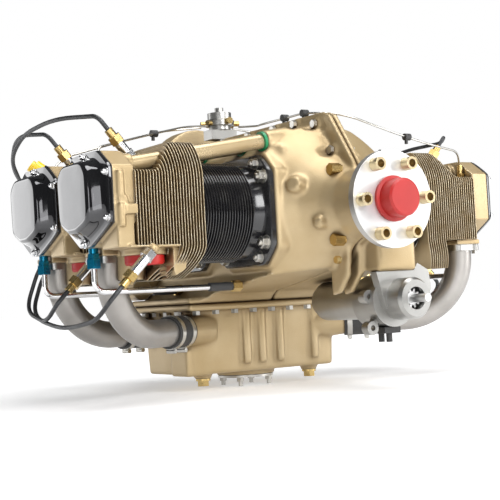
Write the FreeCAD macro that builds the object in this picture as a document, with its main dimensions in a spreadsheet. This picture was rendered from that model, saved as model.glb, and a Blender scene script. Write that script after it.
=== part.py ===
import FreeCAD, Part
import math
import os

from FreeCAD import Placement, Rotation, Vector

# Direct-drive, air-cooled flat four aircraft engine, in millimetres.
# The origin is the centre of the propeller flange's front face, on the crankshaft's axis.
# The shaft points forward along -Y, +X is the right bank seen from the propeller, and +Z is up.

DRIVING = {
    "bore_dia": 130.2,        # cylinder bore
    "stroke": 111.1,          # piston travel
    "front_cyl": 234.0,       # propeller face to the axis of the foremost cylinder
    "cyl_pitch": 194.0,       # between the two cylinders of a bank
    "bank_offset": 59.0,      # the right bank sits this much further back
    "deck_half": 118.0,       # crankshaft axis to a cylinder's base pad
    "barrel_top": 284.0,      # crankshaft axis to the barrel's upper end
    "fin_dia": 159.0,         # over the barrel's fins
    "cover_base": 393.0,      # crankshaft axis to the rocker cover's joint face
    "cover_depth": 31.0,      # rocker cover, joint face to outer face
    "flange_dia": 150.0,      # propeller flange
    "flange_thick": 12.0,
    "bolt_circle": 120.65,    # propeller bolts
    "bushing_dia": 20.0,
    "bushing_bore": 12.7,
    "bushing_stand": 16.0,    # how far a bushing stands out of the flange
    "journal_dia": 60.0,      # main journals
    "cam_height": 106.0,      # camshaft axis above the crankshaft's
    "case_rear": 585.0,       # propeller face to the accessory housing's joint
    "sump_joint": 143.0,      # crankshaft axis down to the sump's flange
    "sump_depth": 122.0,
    "pipe_dia": 46.0,         # intake pipes
    "tube_dia": 24.0,         # push rod tubes
    "mount_bore": 11.1,       # engine mount bolts
    "seat_gap": 0.05,         # radial clearance of a running shaft
}

doc = FreeCAD.newDocument("flat_four_engine")
sheet = doc.addObject("Spreadsheet::Sheet", "Dimensions")
for row, (alias, value) in enumerate(DRIVING.items(), start=1):
    sheet.set(f"A{row}", alias)
    sheet.set(f"B{row}", str(value))
    sheet.setAlias(f"B{row}", alias)
doc.recompute()


def size(alias):
    """One driving dimension, as the sheet holds it."""
    return float(sheet.get(alias))


NODES = {}
X, Y, Z = Vector(1, 0, 0), Vector(0, 1, 0), Vector(0, 0, 1)
THROW = size("stroke") / 2
DECK = size("deck_half")
REAR = size("case_rear")
CAM_Z = size("cam_height")
SUMP_Z = -size("sump_joint")


# ---------------------------------------------------------------- building blocks

def register(name, item):
    item.Label = name
    NODES[name] = item
    return item


def primitive(kind, label, place, **sizes):
    """A Part primitive; a text size is an expression on the sheet's aliases."""
    item = doc.addObject("Part::" + kind, label)
    for prop, value in sizes.items():
        if isinstance(value, str):
            item.setExpression(prop, value)
        else:
            setattr(item, prop, value)
    item.Placement = place
    return item


def along(direction, at=Vector()):
    """A placement that turns +Z to the direction, at a point."""
    return Placement(at, Rotation(Z, direction))


def ring(label, at, direction, **sizes):
    """Part::Cut of two cylinders on one axis: sizes are outer, inner and height, as expressions."""
    solid = primitive("Cylinder", label + "_solid", along(direction, at), Radius=sizes["outer"],
                      Height=sizes["height"])
    bore = primitive("Cylinder", label + "_bore", along(direction, at - direction), Radius=sizes["inner"],
                     Height=sizes["height"] + " + 2 mm")
    item = doc.addObject("Part::Cut", label + "_ring")
    item.Base, item.Tool = solid, bore
    return item


def feature(label, shape, place=Placement()):
    item = doc.addObject("Part::Feature", label)
    item.Shape = shape
    item.Placement = place.multiply(shape.Placement)
    return item


def prism(points, direction):
    """A straight-sided solid from the corners of one flat face."""
    face = Part.Face(Part.makePolygon(list(points) + [points[0]]))
    return face.extrude(direction)


def rod(start, end, radius):
    return Part.makeCylinder(radius, (end - start).Length, start, end - start)


def cone(start, end, radius_start, radius_end):
    return Part.makeCone(radius_start, radius_end, (end - start).Length, start, end - start)


def block(low, high):
    return Part.makeBox(high[0] - low[0], high[1] - low[1], high[2] - low[2], Vector(*low))


def hexagon(start, direction, across_flats, height, turn=0.0):
    """A hexagonal head or nut standing on a point."""
    corner = across_flats / math.sqrt(3)
    points = [Vector(corner * math.cos(math.radians(60 * k + turn)),
                     corner * math.sin(math.radians(60 * k + turn)), 0) for k in range(6)]
    solid = prism(points, Vector(0, 0, height))
    solid.Placement = along(direction, start)
    return solid


def refined(shape):
    """The shape with its split faces joined, where that leaves it valid."""
    joined = shape.copy().removeSplitter()
    return joined if joined.isValid() else shape


def union(shapes):
    return refined(shapes[0].multiFuse(shapes[1:]))


def tube_path(points, bend_share):
    """Straight runs joined by tangent arcs; an arc takes the given share of its shorter run."""
    edges, last = [], points[0]
    for before, corner, after in zip(points, points[1:], points[2:]):
        run_in, run_out = corner - before, after - corner
        half_turn = run_in.getAngle(run_out) / 2
        reach = bend_share * min(run_in.Length, run_out.Length)
        radius = reach / math.tan(half_turn)
        way_in, way_out = run_in.normalize(), run_out.normalize()
        start, end = corner - way_in * reach, corner + way_out * reach
        centre_way = (way_out - way_in).normalize()
        middle = corner + centre_way * (radius / math.cos(half_turn) - radius)
        edges += [Part.LineSegment(last, start).toShape(), Part.Arc(start, middle, end).toShape()]
        last = end
    edges.append(Part.LineSegment(last, points[-1]).toShape())
    return Part.Wire(edges)


def tube(points, radius, bend_share=0.45):
    """A round tube along a route."""
    path = tube_path([Vector(p) for p in points], bend_share)
    start, way = path.Edges[0].valueAt(0), path.Edges[0].tangentAt(0)
    ring = Part.Wire(Part.Circle(start, way, radius).toShape())
    solid = path.makePipeShell([ring], True, False)
    expected = math.pi * radius ** 2 * path.Length
    if abs(solid.Volume - expected) > 0.02 * expected:
        raise RuntimeError(f"tube volume {solid.Volume:.0f} differs from {expected:.0f}")
    return solid


def seated(shape, *labels):
    """The shape without the room of the named sub-parts, so that it bears on them."""
    for label in labels:
        shape = shape.cut(doc.getObject(label).Shape)
    return shape


def cylinder_place(number):
    """Cylinders 1 and 3 are on the left bank, 2 and 4 on the right, which is turned half round."""
    right = number % 2 == 0
    back = size("cyl_pitch") if number > 2 else 0.0
    y = size("front_cyl") + back + (size("bank_offset") if right else 0.0)
    return Placement(Vector(0, y, 0), Rotation(Z, 180 if right else 0))


def placed(shape, place):
    moved = shape.copy()
    moved.Placement = place.multiply(moved.Placement)
    return moved


CYLINDERS = (1, 2, 3, 4)
CYL_Y = {n: cylinder_place(n).Base.y for n in CYLINDERS}

TUBE_LINES = (-45.0, 20.0)          # the two push rod tubes, along Y from the cylinder's axis
TUBE_SLOPE = 0.163
TUBE_Z_AT_CASE = 111.4              # height of the tubes where they meet the crankcase
CASE_BOSS_U = 106.0


def tube_point(u, line):
    return Vector(-u, line, TUBE_Z_AT_CASE - TUBE_SLOPE * (u - CASE_BOSS_U))


# ---------------------------------------------------------------- crankcase

def extruded_yz(points, x_from, x_to):
    """A side profile in Y and Z, extruded along X."""
    return prism([Vector(x_from, y, z) for y, z in points], Vector(x_to - x_from, 0, 0))


def extruded_xz(points, y_from, y_to):
    return prism([Vector(x, y_from, z) for x, z in points], Vector(0, y_to - y_from, 0))


def extruded_xy(points, z_from, z_to):
    return prism([Vector(x, y, z_from) for x, y in points], Vector(0, 0, z_to - z_from))


CASE_FRONT = 28.0
CASE_TOP = 150.0
RIDGE_TOP = 158.0
RIDGE_BOLTS = [(126, 91), (168, 139), (226, 147), (289, 147), (370, 147), (455, 147), (540, 147)]
SUNK_BOLTS = RIDGE_BOLTS[:2]         # these two stand in recesses of the nose
NOSE = [(CASE_FRONT, 50), (80, 55), (100, 66), (126, 88), (146, 112), (176, 146)]   # radius along the shaft
CRANK_ROOMS = [(190, 337), (384, 531)]      # the two pairs of throws
CAM_ROOMS = [(172, 340), (381, 560)]
SUMP_FRONT, SUMP_REAR, SUMP_HALF = 352.0, 566.0, 169.0


def crankcase_half(side):
    """One half casting, split on the plane of the two shafts; side is -1 for the left bank."""
    pads = [CYL_Y[n] for n in CYLINDERS if (n % 2 == 0) == (side > 0)]
    deck_front, deck_rear = pads[0] - 95, pads[1] + 95
    skin = DECK - 8
    profile = extruded_yz([(CASE_FRONT, -56), (CASE_FRONT, 56), (84, 64), (176, CASE_TOP),
                           (REAR, CASE_TOP), (REAR, SUMP_Z), (SUMP_FRONT, SUMP_Z), (330, -128),
                           (120, -94), (84, -68)], 0, side * 170)
    section = extruded_xz([(0, CASE_TOP), (side * 10, CASE_TOP), (side * 17, 139), (side * 58, 130),
                           (side * skin, 98), (side * skin, -98), (side * 122, -118), (side * 150, SUMP_Z),
                           (0, SUMP_Z)], CASE_FRONT, REAR)
    plan = extruded_xy([(0, CASE_FRONT), (side * skin, CASE_FRONT), (side * skin, deck_front),
                        (side * 152, deck_front + 150), (side * 152, 548), (side * 128, REAR), (0, REAR)],
                       SUMP_Z, CASE_TOP)
    nose = [cone(Vector(0, a, 0), Vector(0, b, 0), r, q) for (a, r), (b, q) in zip(NOSE, NOSE[1:])]
    behind_nose = block((-170, NOSE[-1][0], SUMP_Z), (170, REAR, CASE_TOP))
    shell = profile.common(section).common(plan).common(union(nose + [behind_nose]))
    cam_front = rod(Vector(0, 152, CAM_Z), Vector(0, 200, CAM_Z), 24)
    cam_front = cam_front.common(block((min(0, side * 30), 150, 70), (max(0, side * 30), 202, 150)))
    ridge = extruded_yz([(74, 50), (86, 72), (140, 150), (158, RIDGE_TOP), (REAR, RIDGE_TOP),
                         (REAR, 128), (170, 128), (100, 50)], 0, side * 10)
    flange = block((min(0, side * SUMP_HALF), SUMP_FRONT - 6, SUMP_Z),
                   (max(0, side * SUMP_HALF), SUMP_REAR, SUMP_Z + 11))
    parts = [shell, cam_front, ridge, flange]
    for y in pads:
        outline = [(y - 92, -62), (y - 92, 62), (y - 62, 93), (y + 62, 93),
                   (y + 92, 62), (y + 92, -62), (y + 62, -93), (y - 62, -93)]
        parts.append(extruded_yz(outline, side * (skin - 12), side * DECK))
    for y, z in RIDGE_BOLTS:
        parts.append(rod(Vector(0, y, z), Vector(side * 17, y, z), 9))
    for n in CYLINDERS:
        if (n % 2 == 0) == (side > 0):
            for line in TUBE_LINES:
                socket = rod(tube_point(58, line), tube_point(CASE_BOSS_U, line), 17)
                parts.append(placed(socket, cylinder_place(n)))
    boss_front = pads[0] - 96
    parts.append(cone(Vector(side * 64, boss_front + 52, 86), Vector(side * 94, boss_front + 26, 94),
                      20, 10))
    parts.append(cone(Vector(side * 60, boss_front + 6, 30), Vector(side * 98, boss_front - 14, 36), 24, 12))
    parts.append(cone(Vector(side * 40, 112, -26), Vector(side * 74, 98, -27), 16, 9))
    parts.append(extruded_yz([(98, -64), (150, -90), (150, -142), (128, -138), (104, -112)],
                             side * 6, side * 17))
    if side > 0:
        parts.append(block((16, 64, -108), (92, 98, -50)))
    whole = union(parts)
    tools = [rod(Vector(0, CASE_FRONT - 1, 0), Vector(0, REAR + 1, 0),
                 size("journal_dia") / 2 + size("seat_gap")),
             rod(Vector(0, CASE_FRONT - 1, 0), Vector(0, CASE_FRONT + 12, 0), 44),
             rod(Vector(0, 158, CAM_Z), Vector(0, REAR + 1, CAM_Z), 14 + size("seat_gap"))]
    tools += [rod(Vector(0, a, 0), Vector(0, b, 0), 92) for a, b in CRANK_ROOMS]
    tools += [rod(Vector(0, a, CAM_Z), Vector(0, b, CAM_Z), 21) for a, b in CAM_ROOMS]
    tools += [rod(Vector(side * 55, y, 0), Vector(side * (DECK + 1), y, 0), 70) for y in pads]
    tools += [rod(Vector(side * 17, y, z), Vector(side * 40, y, z), 10.5) for y, z in SUNK_BOLTS]
    for n in CYLINDERS:
        if (n % 2 == 0) == (side > 0):
            for line in TUBE_LINES:
                clear = rod(tube_point(CASE_BOSS_U, line), tube_point(CASE_BOSS_U + 20, line), 17)
                tools.append(placed(clear, cylinder_place(n)))
    hollow = whole
    for tool in tools:
        hollow = hollow.cut(tool)
    return refined(hollow)


register("crankcase_left", feature("crankcase_left", crankcase_half(-1)))
register("crankcase_right", feature("crankcase_right", crankcase_half(1)))


NOSE_PLUGS = [(Vector(-26, 96, 56), 17, 20), (Vector(-28, 94, -55), 17, 20), (Vector(-30, 104, -86), 11, 8)]


def case_bolts():
    """Through bolts of the split line, heads left and nuts right, and the plugs of the nose's oil ways."""
    shapes = []
    for y, z in RIDGE_BOLTS:
        left, right = Vector(-17, y, z), Vector(17, y, z)
        shapes += [hexagon(left, -X, 12, 6), hexagon(right, X, 12, 8)]
    casting = doc.getObject("crankcase_left").Shape
    for place, across, tall in NOSE_PLUGS:
        shapes.append(hexagon(place, -X, across, tall).cut(casting))
    return Part.makeCompound(shapes)


register("case_bolts", feature("case_bolts", case_bolts()))


# ---------------------------------------------------------------- oil sump and its fasteners

SUMP_BODY_HALF = 155.0
SUMP_BODY_FRONT, SUMP_BODY_REAR = 378.0, 550.0
SUMP_FLOOR = SUMP_Z - size("sump_depth")
STUB_Z = -188.0
STUB_LENGTH = 76.0
INTAKE_PORT = (345.0, 45.0)         # outward and rearward of the cylinder's own frame


def intake_line(number):
    """Root of the sump's stub, the way it points, and the point under the cylinder's port."""
    u, y = INTAKE_PORT
    under_port = cylinder_place(number).multVec(Vector(-u, y, STUB_Z))
    root = Vector(math.copysign(112, under_port.x), 400 if number < 3 else 524, STUB_Z)
    return root, (under_port - root).normalize(), under_port


def sump():
    """The cast sump that also holds the intake chamber: flange, drafted box, ribs and four stubs."""
    low_half, draft = SUMP_BODY_HALF - 4, 5
    top = [(-SUMP_BODY_HALF, SUMP_BODY_FRONT), (SUMP_BODY_HALF, SUMP_BODY_FRONT),
           (SUMP_BODY_HALF, SUMP_BODY_REAR), (-SUMP_BODY_HALF, SUMP_BODY_REAR)]
    bottom = [(-low_half, SUMP_BODY_FRONT + draft), (low_half, SUMP_BODY_FRONT + draft),
              (low_half, SUMP_BODY_REAR - draft), (-low_half, SUMP_BODY_REAR - draft)]
    loops = [Part.makePolygon([Vector(x, y, z) for x, y in loop] + [Vector(*loop[0], z)])
             for loop, z in ((top, SUMP_Z - 8), (bottom, SUMP_FLOOR))]
    box = Part.makeLoft(loops, True, True)
    upright = [edge for edge in box.Edges
               if abs(edge.Vertexes[0].Point.z - edge.Vertexes[-1].Point.z) > 50]
    box = box.makeFillet(14, upright)
    parts = [box, block((-SUMP_HALF, SUMP_FRONT - 6, SUMP_Z - 12), (SUMP_HALF, SUMP_REAR, SUMP_Z))]
    for x in (-40, -8, 30, 104):
        parts.append(block((x - 7, SUMP_BODY_FRONT - 5, SUMP_FLOOR + 14),
                           (x + 7, SUMP_BODY_FRONT + 8, SUMP_Z - 10)))
    for n in CYLINDERS:
        root, way, _ = intake_line(n)
        parts.append(cone(root, root + way * STUB_LENGTH, 30, size("pipe_dia") / 2))
    parts.append(block((-SUMP_BODY_HALF - 2, SUMP_BODY_FRONT + 8, SUMP_FLOOR - 2),
                       (-SUMP_BODY_HALF + 40, SUMP_BODY_FRONT + 66, SUMP_FLOOR + 44)))
    parts.append(rod(Vector(0, 452, SUMP_FLOOR + 4), Vector(0, 452, SUMP_FLOOR - 9), 52))
    for x in (-112, 112):
        parts.append(rod(Vector(x, 412, SUMP_FLOOR + 4), Vector(x, 412, SUMP_FLOOR - 8), 15))
    return union(parts)


register("oil_sump", feature("oil_sump", sump()))


def sump_bolt_places():
    front = [(x, SUMP_FRONT + 5) for x in (-150, -112, -74, -36, 2, 40, 78, 116, 150)]
    sides = [(side * (SUMP_HALF - 6.6), y) for side in (-1, 1) for y in (400, 440, 480, 520, 556)]
    return front + sides


def sump_fasteners():
    """Flange bolts all round, and the two drain plugs in the floor."""
    shapes = [hexagon(Vector(x, y, SUMP_Z - 12), -Z, 12, 7) for x, y in sump_bolt_places()]
    for x in (-112, 112):
        seat = Vector(x, 412, SUMP_FLOOR - 8)
        shapes.append(rod(seat, seat - Z * 4, 13).fuse(hexagon(seat - Z * 4, -Z, 19, 9)))
    return Part.makeCompound(shapes)


register("sump_fasteners", feature("sump_fasteners", sump_fasteners()))


def throttle_pad_cover():
    """The plate over the intake mouth under the sump, on four studs with their nuts."""
    pad = SUMP_FLOOR - 9
    shapes = [rod(Vector(0, 452, pad), Vector(0, 452, pad - 4), 50)]
    for sx in (-1, 1):
        for sy in (-1, 1):
            foot = Vector(sx * 30, 452 + sy * 30, pad - 4)
            shapes.append(union([hexagon(foot, -Z, 12.7, 7), rod(foot - Z * 7, foot - Z * 15, 4)]))
    return Part.makeCompound(shapes)


register("throttle_pad_cover", feature("throttle_pad_cover", throttle_pad_cover()))


# ---------------------------------------------------------------- accessory housing and what it carries

HOUSING_REAR = REAR + 62


def accessory_housing():
    """The rear casting over the timing gears, with pads for the magnetos, filter and pumps."""
    outline = [(-128, -118), (-128, 40), (-96, 96), (-60, 150), (60, 150), (96, 96), (128, 40), (128, -118),
               (96, -138), (-96, -138)]
    plate = extruded_xz(outline, REAR, REAR + 14)
    inner = [(x * 0.9, z * 0.92) for x, z in outline]
    shell = extruded_xz(inner, REAR, HOUSING_REAR)
    hump = rod(Vector(0, REAR, CAM_Z), Vector(0, REAR + 40, CAM_Z), 84)
    parts = [plate, shell, hump]
    for side in (-1, 1):
        parts.append(rod(Vector(side * 62, REAR + 40, 30), Vector(side * 62, HOUSING_REAR + 10, 30), 40))
    parts.append(rod(Vector(0, REAR + 40, -82), Vector(0, HOUSING_REAR + 8, -82), 36))
    parts.append(rod(Vector(74, REAR + 40, -84), Vector(74, HOUSING_REAR + 6, -84), 30))
    parts.append(rod(Vector(-74, REAR + 40, -84), Vector(-74, HOUSING_REAR + 6, -84), 30))
    body = union(parts)
    body = body.cut(rod(Vector(0, REAR - 1, 0), Vector(0, REAR + 34, 0), 44))
    body = body.cut(rod(Vector(0, REAR - 1, CAM_Z), Vector(0, REAR + 34, CAM_Z), 78))
    return refined(body)


register("accessory_housing", feature("accessory_housing", accessory_housing()))


def magneto(side):
    """A magneto on its pad, with the cap that takes the ignition leads."""
    x, z, start = side * 62, 30, HOUSING_REAR + 10
    flange = rod(Vector(x, start, z), Vector(x, start + 8, z), 38)
    frame = block((x - 32, start + 8, z - 30), (x + 32, start + 58, z + 38))
    frame = frame.makeFillet(9, [e for e in frame.Edges if abs(e.Length - 50) < 1])
    cap = cone(Vector(x, start + 58, z + 4), Vector(x, start + 96, z + 4), 36, 28)
    return union([flange, frame, cap])


for side, name in ((-1, "magneto_left"), (1, "magneto_right")):
    register(name, feature(name, magneto(side)))


def oil_filter():
    """A spin-on filter can with a hexagonal end for the spanner."""
    start = Vector(0, HOUSING_REAR + 8, -82)
    outline = [(0, 0), (38, 0), (38, 74), (30, 82), (0, 82)]
    face = Part.Face(Part.makePolygon([Vector(r, 0, y) for r, y in outline] + [Vector(0, 0, 0)]))
    can = face.revolve(Vector(), Z, 360)
    can = can.fuse(hexagon(Vector(0, 0, 82), Z, 25, 9))
    can.Placement = along(Y, start)
    return can


register("oil_filter", feature("oil_filter", oil_filter()))


def accessory_covers():
    """Blank plates on the two spare pump pads, each held by four screws."""
    shapes = []
    for x in (-74, 74):
        seat = Vector(x, HOUSING_REAR + 6, -84)
        screws = [hexagon(seat + Vector(20 * i, 5, 20 * j), Y, 9.5, 5) for i in (-1, 1) for j in (-1, 1)]
        shapes.append(union([rod(seat, seat + Y * 5, 29.5)] + screws))
    return Part.makeCompound(shapes)


register("accessory_covers", feature("accessory_covers", accessory_covers()))


BRACKET_FRONT, BRACKET_DEPTH = 552, 32


def mount_brackets():
    """Four forged brackets on the rear corners, each with the bore of an engine mount bolt."""
    shapes = []
    for side in (-1, 1):
        for z, inward in ((104, 104), (-112, -106)):
            front = Vector(side * 150, BRACKET_FRONT, z)
            eye = rod(front, front + Y * BRACKET_DEPTH, 19)
            arm = prism([Vector(side * 98, BRACKET_FRONT + 4, inward - 14),
                         Vector(side * 98, BRACKET_FRONT + 4, inward + 14),
                         front + Vector(0, 4, 14), front + Vector(0, 4, -14)],
                        Vector(0, BRACKET_DEPTH - 8, 0))
            arm = arm.cut(doc.getObject("crankcase_left" if side < 0 else "crankcase_right").Shape)
            bore = rod(front - Y, front + Y * (BRACKET_DEPTH + 1), size("mount_bore") / 2)
            shapes.append(refined(eye.fuse(arm).cut(bore)))
    return Part.makeCompound(shapes)


register("mount_brackets", feature("mount_brackets", mount_brackets()))


# ---------------------------------------------------------------- sketch-based bodies

def new_body(label):
    item = doc.addObject("PartDesign::Body", label)
    return item


def new_sketch(owner, name, role, offset=0.0):
    """A sketch on one of the body's own origin planes, set off along that plane's normal."""
    sketch = owner.newObject("Sketcher::SketchObject", name)
    origin_plane = next(f for f in owner.Origin.OriginFeatures if f.Role == role)
    sketch.AttachmentSupport = [(origin_plane, "")]
    sketch.MapMode = "FlatFace"
    sketch.AttachmentOffset = Placement(Vector(0, 0, offset), Rotation())
    return sketch


def draw_loop(sketch, points):
    for (x1, y1), (x2, y2) in zip(points, points[1:] + points[:1]):
        sketch.addGeometry(Part.LineSegment(Vector(x1, y1, 0), Vector(x2, y2, 0)), False)


def draw_circle(sketch, radius, x=0.0, y=0.0):
    sketch.addGeometry(Part.Circle(Vector(x, y, 0), Z, radius), False)


def pad(owner, name, sketch, length, backwards=False):
    item = owner.newObject("PartDesign::Pad", name)
    item.Profile = sketch
    if isinstance(length, str):
        item.setExpression("Length", length)
    else:
        item.Length = length
    item.Reversed = backwards
    return item


def revolve(owner, name, sketch, axis):
    """A full turn of a sketch about its own horizontal or vertical axis."""
    item = owner.newObject("PartDesign::Revolution", name)
    item.Profile = sketch
    item.ReferenceAxis = (sketch, [axis])
    item.Angle = 360
    return item


def origin_axis(owner, role):
    return next(f for f in owner.Origin.OriginFeatures if f.Role == role)


def body_copies(owner, names_and_places):
    """Separate nodes that share one body's finished shape."""
    doc.recompute()
    for name, place in names_and_places:
        register(name, feature(name, owner.Shape.copy(), place))


# ---------------------------------------------------------------- cylinder barrels
# A cylinder's own frame has its axis along -X, the rear of the left bank is +Y.

FIN_START, FIN_PITCH, FIN_THICK, BARREL_FINS = 153.0, 9.2, 2.6, 10
BASE_THICK = 9.0


def octagon(half_width, half_height, cut):
    a, b, c = half_width, half_height, cut
    return [(-a, -b + c), (-a, b - c), (-a + c, b), (a - c, b),
            (a, b - c), (a, -b + c), (a - c, -b), (-a + c, -b)]


def barrel_body():
    owner = new_body("barrel_master")
    wall = new_sketch(owner, "barrel_wall", "XZ_Plane")
    inner, top = size("bore_dia") / 2, size("barrel_top")
    draw_loop(wall, [(-92, inner), (-92, 69.8), (-DECK, 69.8), (-DECK, 76), (-DECK - 12, 76), (-148, 71.5),
                     (-240, 70.5), (-240, 72), (-top, 72), (-top, inner)])
    revolve(owner, "barrel_turned", wall, "H_Axis")
    base = new_sketch(owner, "base_outline", "YZ_Plane", -DECK)
    draw_loop(base, octagon(88, 88, 30))
    draw_circle(base, 69.8)
    pad(owner, "base_flange", base, BASE_THICK, True)
    ring = new_sketch(owner, "fin_outline", "YZ_Plane", -FIN_START)
    draw_circle(ring, size("fin_dia") / 2)
    draw_circle(ring, 70)
    fin = pad(owner, "fin", ring, FIN_THICK, True)
    row_of_fins = owner.newObject("PartDesign::LinearPattern", "fins")
    row_of_fins.Originals = [fin]
    row_of_fins.Direction = (origin_axis(owner, "X_Axis"), [""])
    row_of_fins.Reversed = True
    row_of_fins.Length = FIN_PITCH * (BARREL_FINS - 1)
    row_of_fins.Occurrences = BARREL_FINS
    owner.Tip = row_of_fins
    return owner


body_copies(barrel_body(), [(f"cylinder_barrel_{n}", cylinder_place(n)) for n in CYLINDERS])

NUT_SEATS = [(sy * a, sz * b) for a, b in ((72, 52), (52, 74)) for sy in (-1, 1) for sz in (-1, 1)]


def base_nuts():
    shapes = []
    for n in CYLINDERS:
        for y, z in NUT_SEATS:
            seat = Vector(-DECK - BASE_THICK, y, z)
            across = 17 if abs(y) > abs(z) else 14
            shapes.append(placed(hexagon(seat, -X, across, 12), cylinder_place(n)))
    return Part.makeCompound(shapes)


register("base_nuts", feature("base_nuts", base_nuts()))


# ---------------------------------------------------------------- cylinder heads

BOX_OUTLINE = [(-80, -18), (-80, 66), (-42, 92), (42, 92), (80, 66), (80, -18), (30, -50), (-6, -50)]
COVER_U = size("cover_base")
BOX_U = 362.0
EXHAUST_PORT = (327.0, -40.0)
PORT_Z = -62.0
EXHAUST_FACE = -66.0
PORT_BORE = 27.0
HEAD_FINS, HEAD_FIN_START, HEAD_FIN_PITCH, HEAD_FIN_THICK = 13, 243.0, 9.2, 2.8


def head_fin_outline(u):
    """A fin seen along the cylinder: deep and round by the barrel, shallow and flat by the rocker box."""
    near = max(0.0, min(1.0, (345 - u) / 50))
    low = -60 - (42 if u < 296 else 0)
    high = 64 + 30 * near
    if u < 296:
        return [(-84, -52), (-84, high - 30), (-62, high - 6), (-60, high + 14), (44, high + 20),
                (60, high + 6), (84, high - 34), (84, -52), (62, -84), (34, low + 2), (-34, low + 2),
                (-62, -84)]
    return [(-81, low), (-81, high - 26), (-64, high - 6), (-58, high + 6 * near), (50, high + 10 * near),
            (66, high - 6), (81, high - 26), (81, low)]


NOZZLE = Vector(-352, 56, 46)       # foot of the injector nozzle, in a well of the head


def cylinder_head():
    parts = [rod(Vector(-240, 0, 0), Vector(-300, 0, 0), 78), block((-BOX_U, -64, -54), (-290, 64, 56))]
    for k in range(HEAD_FINS):
        u = HEAD_FIN_START + HEAD_FIN_PITCH * k
        parts.append(extruded_yz(head_fin_outline(u), -u, -u - HEAD_FIN_THICK))
    parts.append(extruded_yz(BOX_OUTLINE, -BOX_U + 4, -COVER_U))
    for line in TUBE_LINES:
        parts.append(block((-312, line - 17, 40), (-244, line + 17, tube_point(278, line).z + 15)))
        parts.append(block((-BOX_U - 6, line - 16, 40), (-346, line + 16, tube_point(354, line).z + 15)))
    u, y = INTAKE_PORT
    parts.append(rod(Vector(-u, y, PORT_Z), Vector(-u, y, -20), 30))
    parts.append(block((-u - 27, y - 34, PORT_Z), (-u + 27, y + 30, PORT_Z + 8)))
    u, y = EXHAUST_PORT
    parts.append(rod(Vector(-u, y, EXHAUST_FACE), Vector(-u, y, -20), 35))
    parts.append(prism([Vector(-u, y - 33, -54), Vector(-u, y - 33, -72), Vector(-292, y - 33, -92),
                        Vector(-270, y - 33, -92), Vector(-270, y - 33, -54)], Vector(0, 66, 0)))
    plug_seat, plug_way = plug_axis("bottom")
    parts.append(rod(plug_seat, plug_seat - plug_way * 24, 13))
    plug_seat, plug_way = plug_axis("top")
    parts.append(rod(plug_seat, plug_seat - plug_way * 30, 15))
    parts.append(block((-BOX_U - 18, -85, -10), (-BOX_U - 2, -76, 8)))
    head = union(parts)
    head = head.cut(rod(Vector(-239, 0, 0), Vector(-size("barrel_top"), 0, 0), 72))
    head = head.cut(cone(Vector(-size("barrel_top"), 0, 0), Vector(-300, 0, 0), 64, 40))
    for line in TUBE_LINES:
        head = head.cut(rod(tube_point(230, line), tube_point(BOX_U + 12, line), size("tube_dia") / 2))
    u, y = EXHAUST_PORT
    head = head.cut(rod(Vector(-u, y, EXHAUST_FACE - 1), Vector(-u, y, EXHAUST_FACE + 18), PORT_BORE))
    head = head.cut(rod(Vector(-u, y, EXHAUST_FACE), Vector(-u, y, EXHAUST_FACE - 40), 32))
    head = head.cut(rod(NOZZLE, NOZZLE + Z * 50, 8.5))
    return refined(head)


def plug_axis(which):
    """Seat of a spark plug on the head and the way the plug points."""
    if which == "top":
        return Vector(-330, -18, 84), Vector(-0.62, 0.05, 0.78).normalize()
    return Vector(-338, -82, -63), Vector(-0.715, -0.02, -0.70).normalize()


head_master = cylinder_head()
for n in CYLINDERS:
    register(f"cylinder_head_{n}", feature(f"cylinder_head_{n}", head_master.copy(), cylinder_place(n)))


# ---------------------------------------------------------------- rocker covers

GASKET = 1.5


def offset_outline(points, inset):
    """The outline drawn in towards its middle, for the lip and the gasket."""
    mid_y = sum(p[0] for p in points) / len(points)
    mid_z = sum(p[1] for p in points) / len(points)
    result = []
    for y, z in points:
        reach = math.hypot(y - mid_y, z - mid_z)
        scale = (reach - inset) / reach
        result.append((mid_y + (y - mid_y) * scale, mid_z + (z - mid_z) * scale))
    return result


def rocker_cover_body():
    owner = new_body("cover_master")
    lip = new_sketch(owner, "lip_outline", "YZ_Plane", -COVER_U - GASKET)
    draw_loop(lip, BOX_OUTLINE)
    pad(owner, "lip", lip, 5, True)
    root = new_sketch(owner, "dome_root", "YZ_Plane", -COVER_U - GASKET - 5)
    draw_loop(root, offset_outline(BOX_OUTLINE, 12.5))
    face = new_sketch(owner, "dome_face", "YZ_Plane", -COVER_U - size("cover_depth"))
    draw_loop(face, [(-52, -14), (-50, 60), (-36, 76), (36, 76), (50, 60), (46, -14), (18, -26), (-14, -26)])
    dome = owner.newObject("PartDesign::AdditiveLoft", "dome")
    dome.Profile = root
    dome.Sections = [face]
    dome.Ruled = True
    owner.Tip = dome
    return owner


body_copies(rocker_cover_body(), [(f"rocker_cover_{n}", cylinder_place(n)) for n in CYLINDERS])

COVER_SCREWS = [(-74.2, 57), (-74.2, -10), (0, 86.5), (74.2, 57), (74.2, -10), (10, -44.2)]


def cover_gaskets():
    ring = extruded_yz(BOX_OUTLINE, -COVER_U, -COVER_U - GASKET)
    return Part.makeCompound([placed(ring, cylinder_place(n)) for n in CYLINDERS])


def cover_screws():
    shapes = []
    for n in CYLINDERS:
        for y, z in COVER_SCREWS:
            seat = Vector(-COVER_U - GASKET - 5, y, z)
            shapes.append(placed(hexagon(seat, -X, 9, 5.5), cylinder_place(n)))
    return Part.makeCompound(shapes)


register("cover_gaskets", feature("cover_gaskets", cover_gaskets()))
register("cover_screws", feature("cover_screws", cover_screws()))


# ---------------------------------------------------------------- push rod tubes and seals

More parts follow.
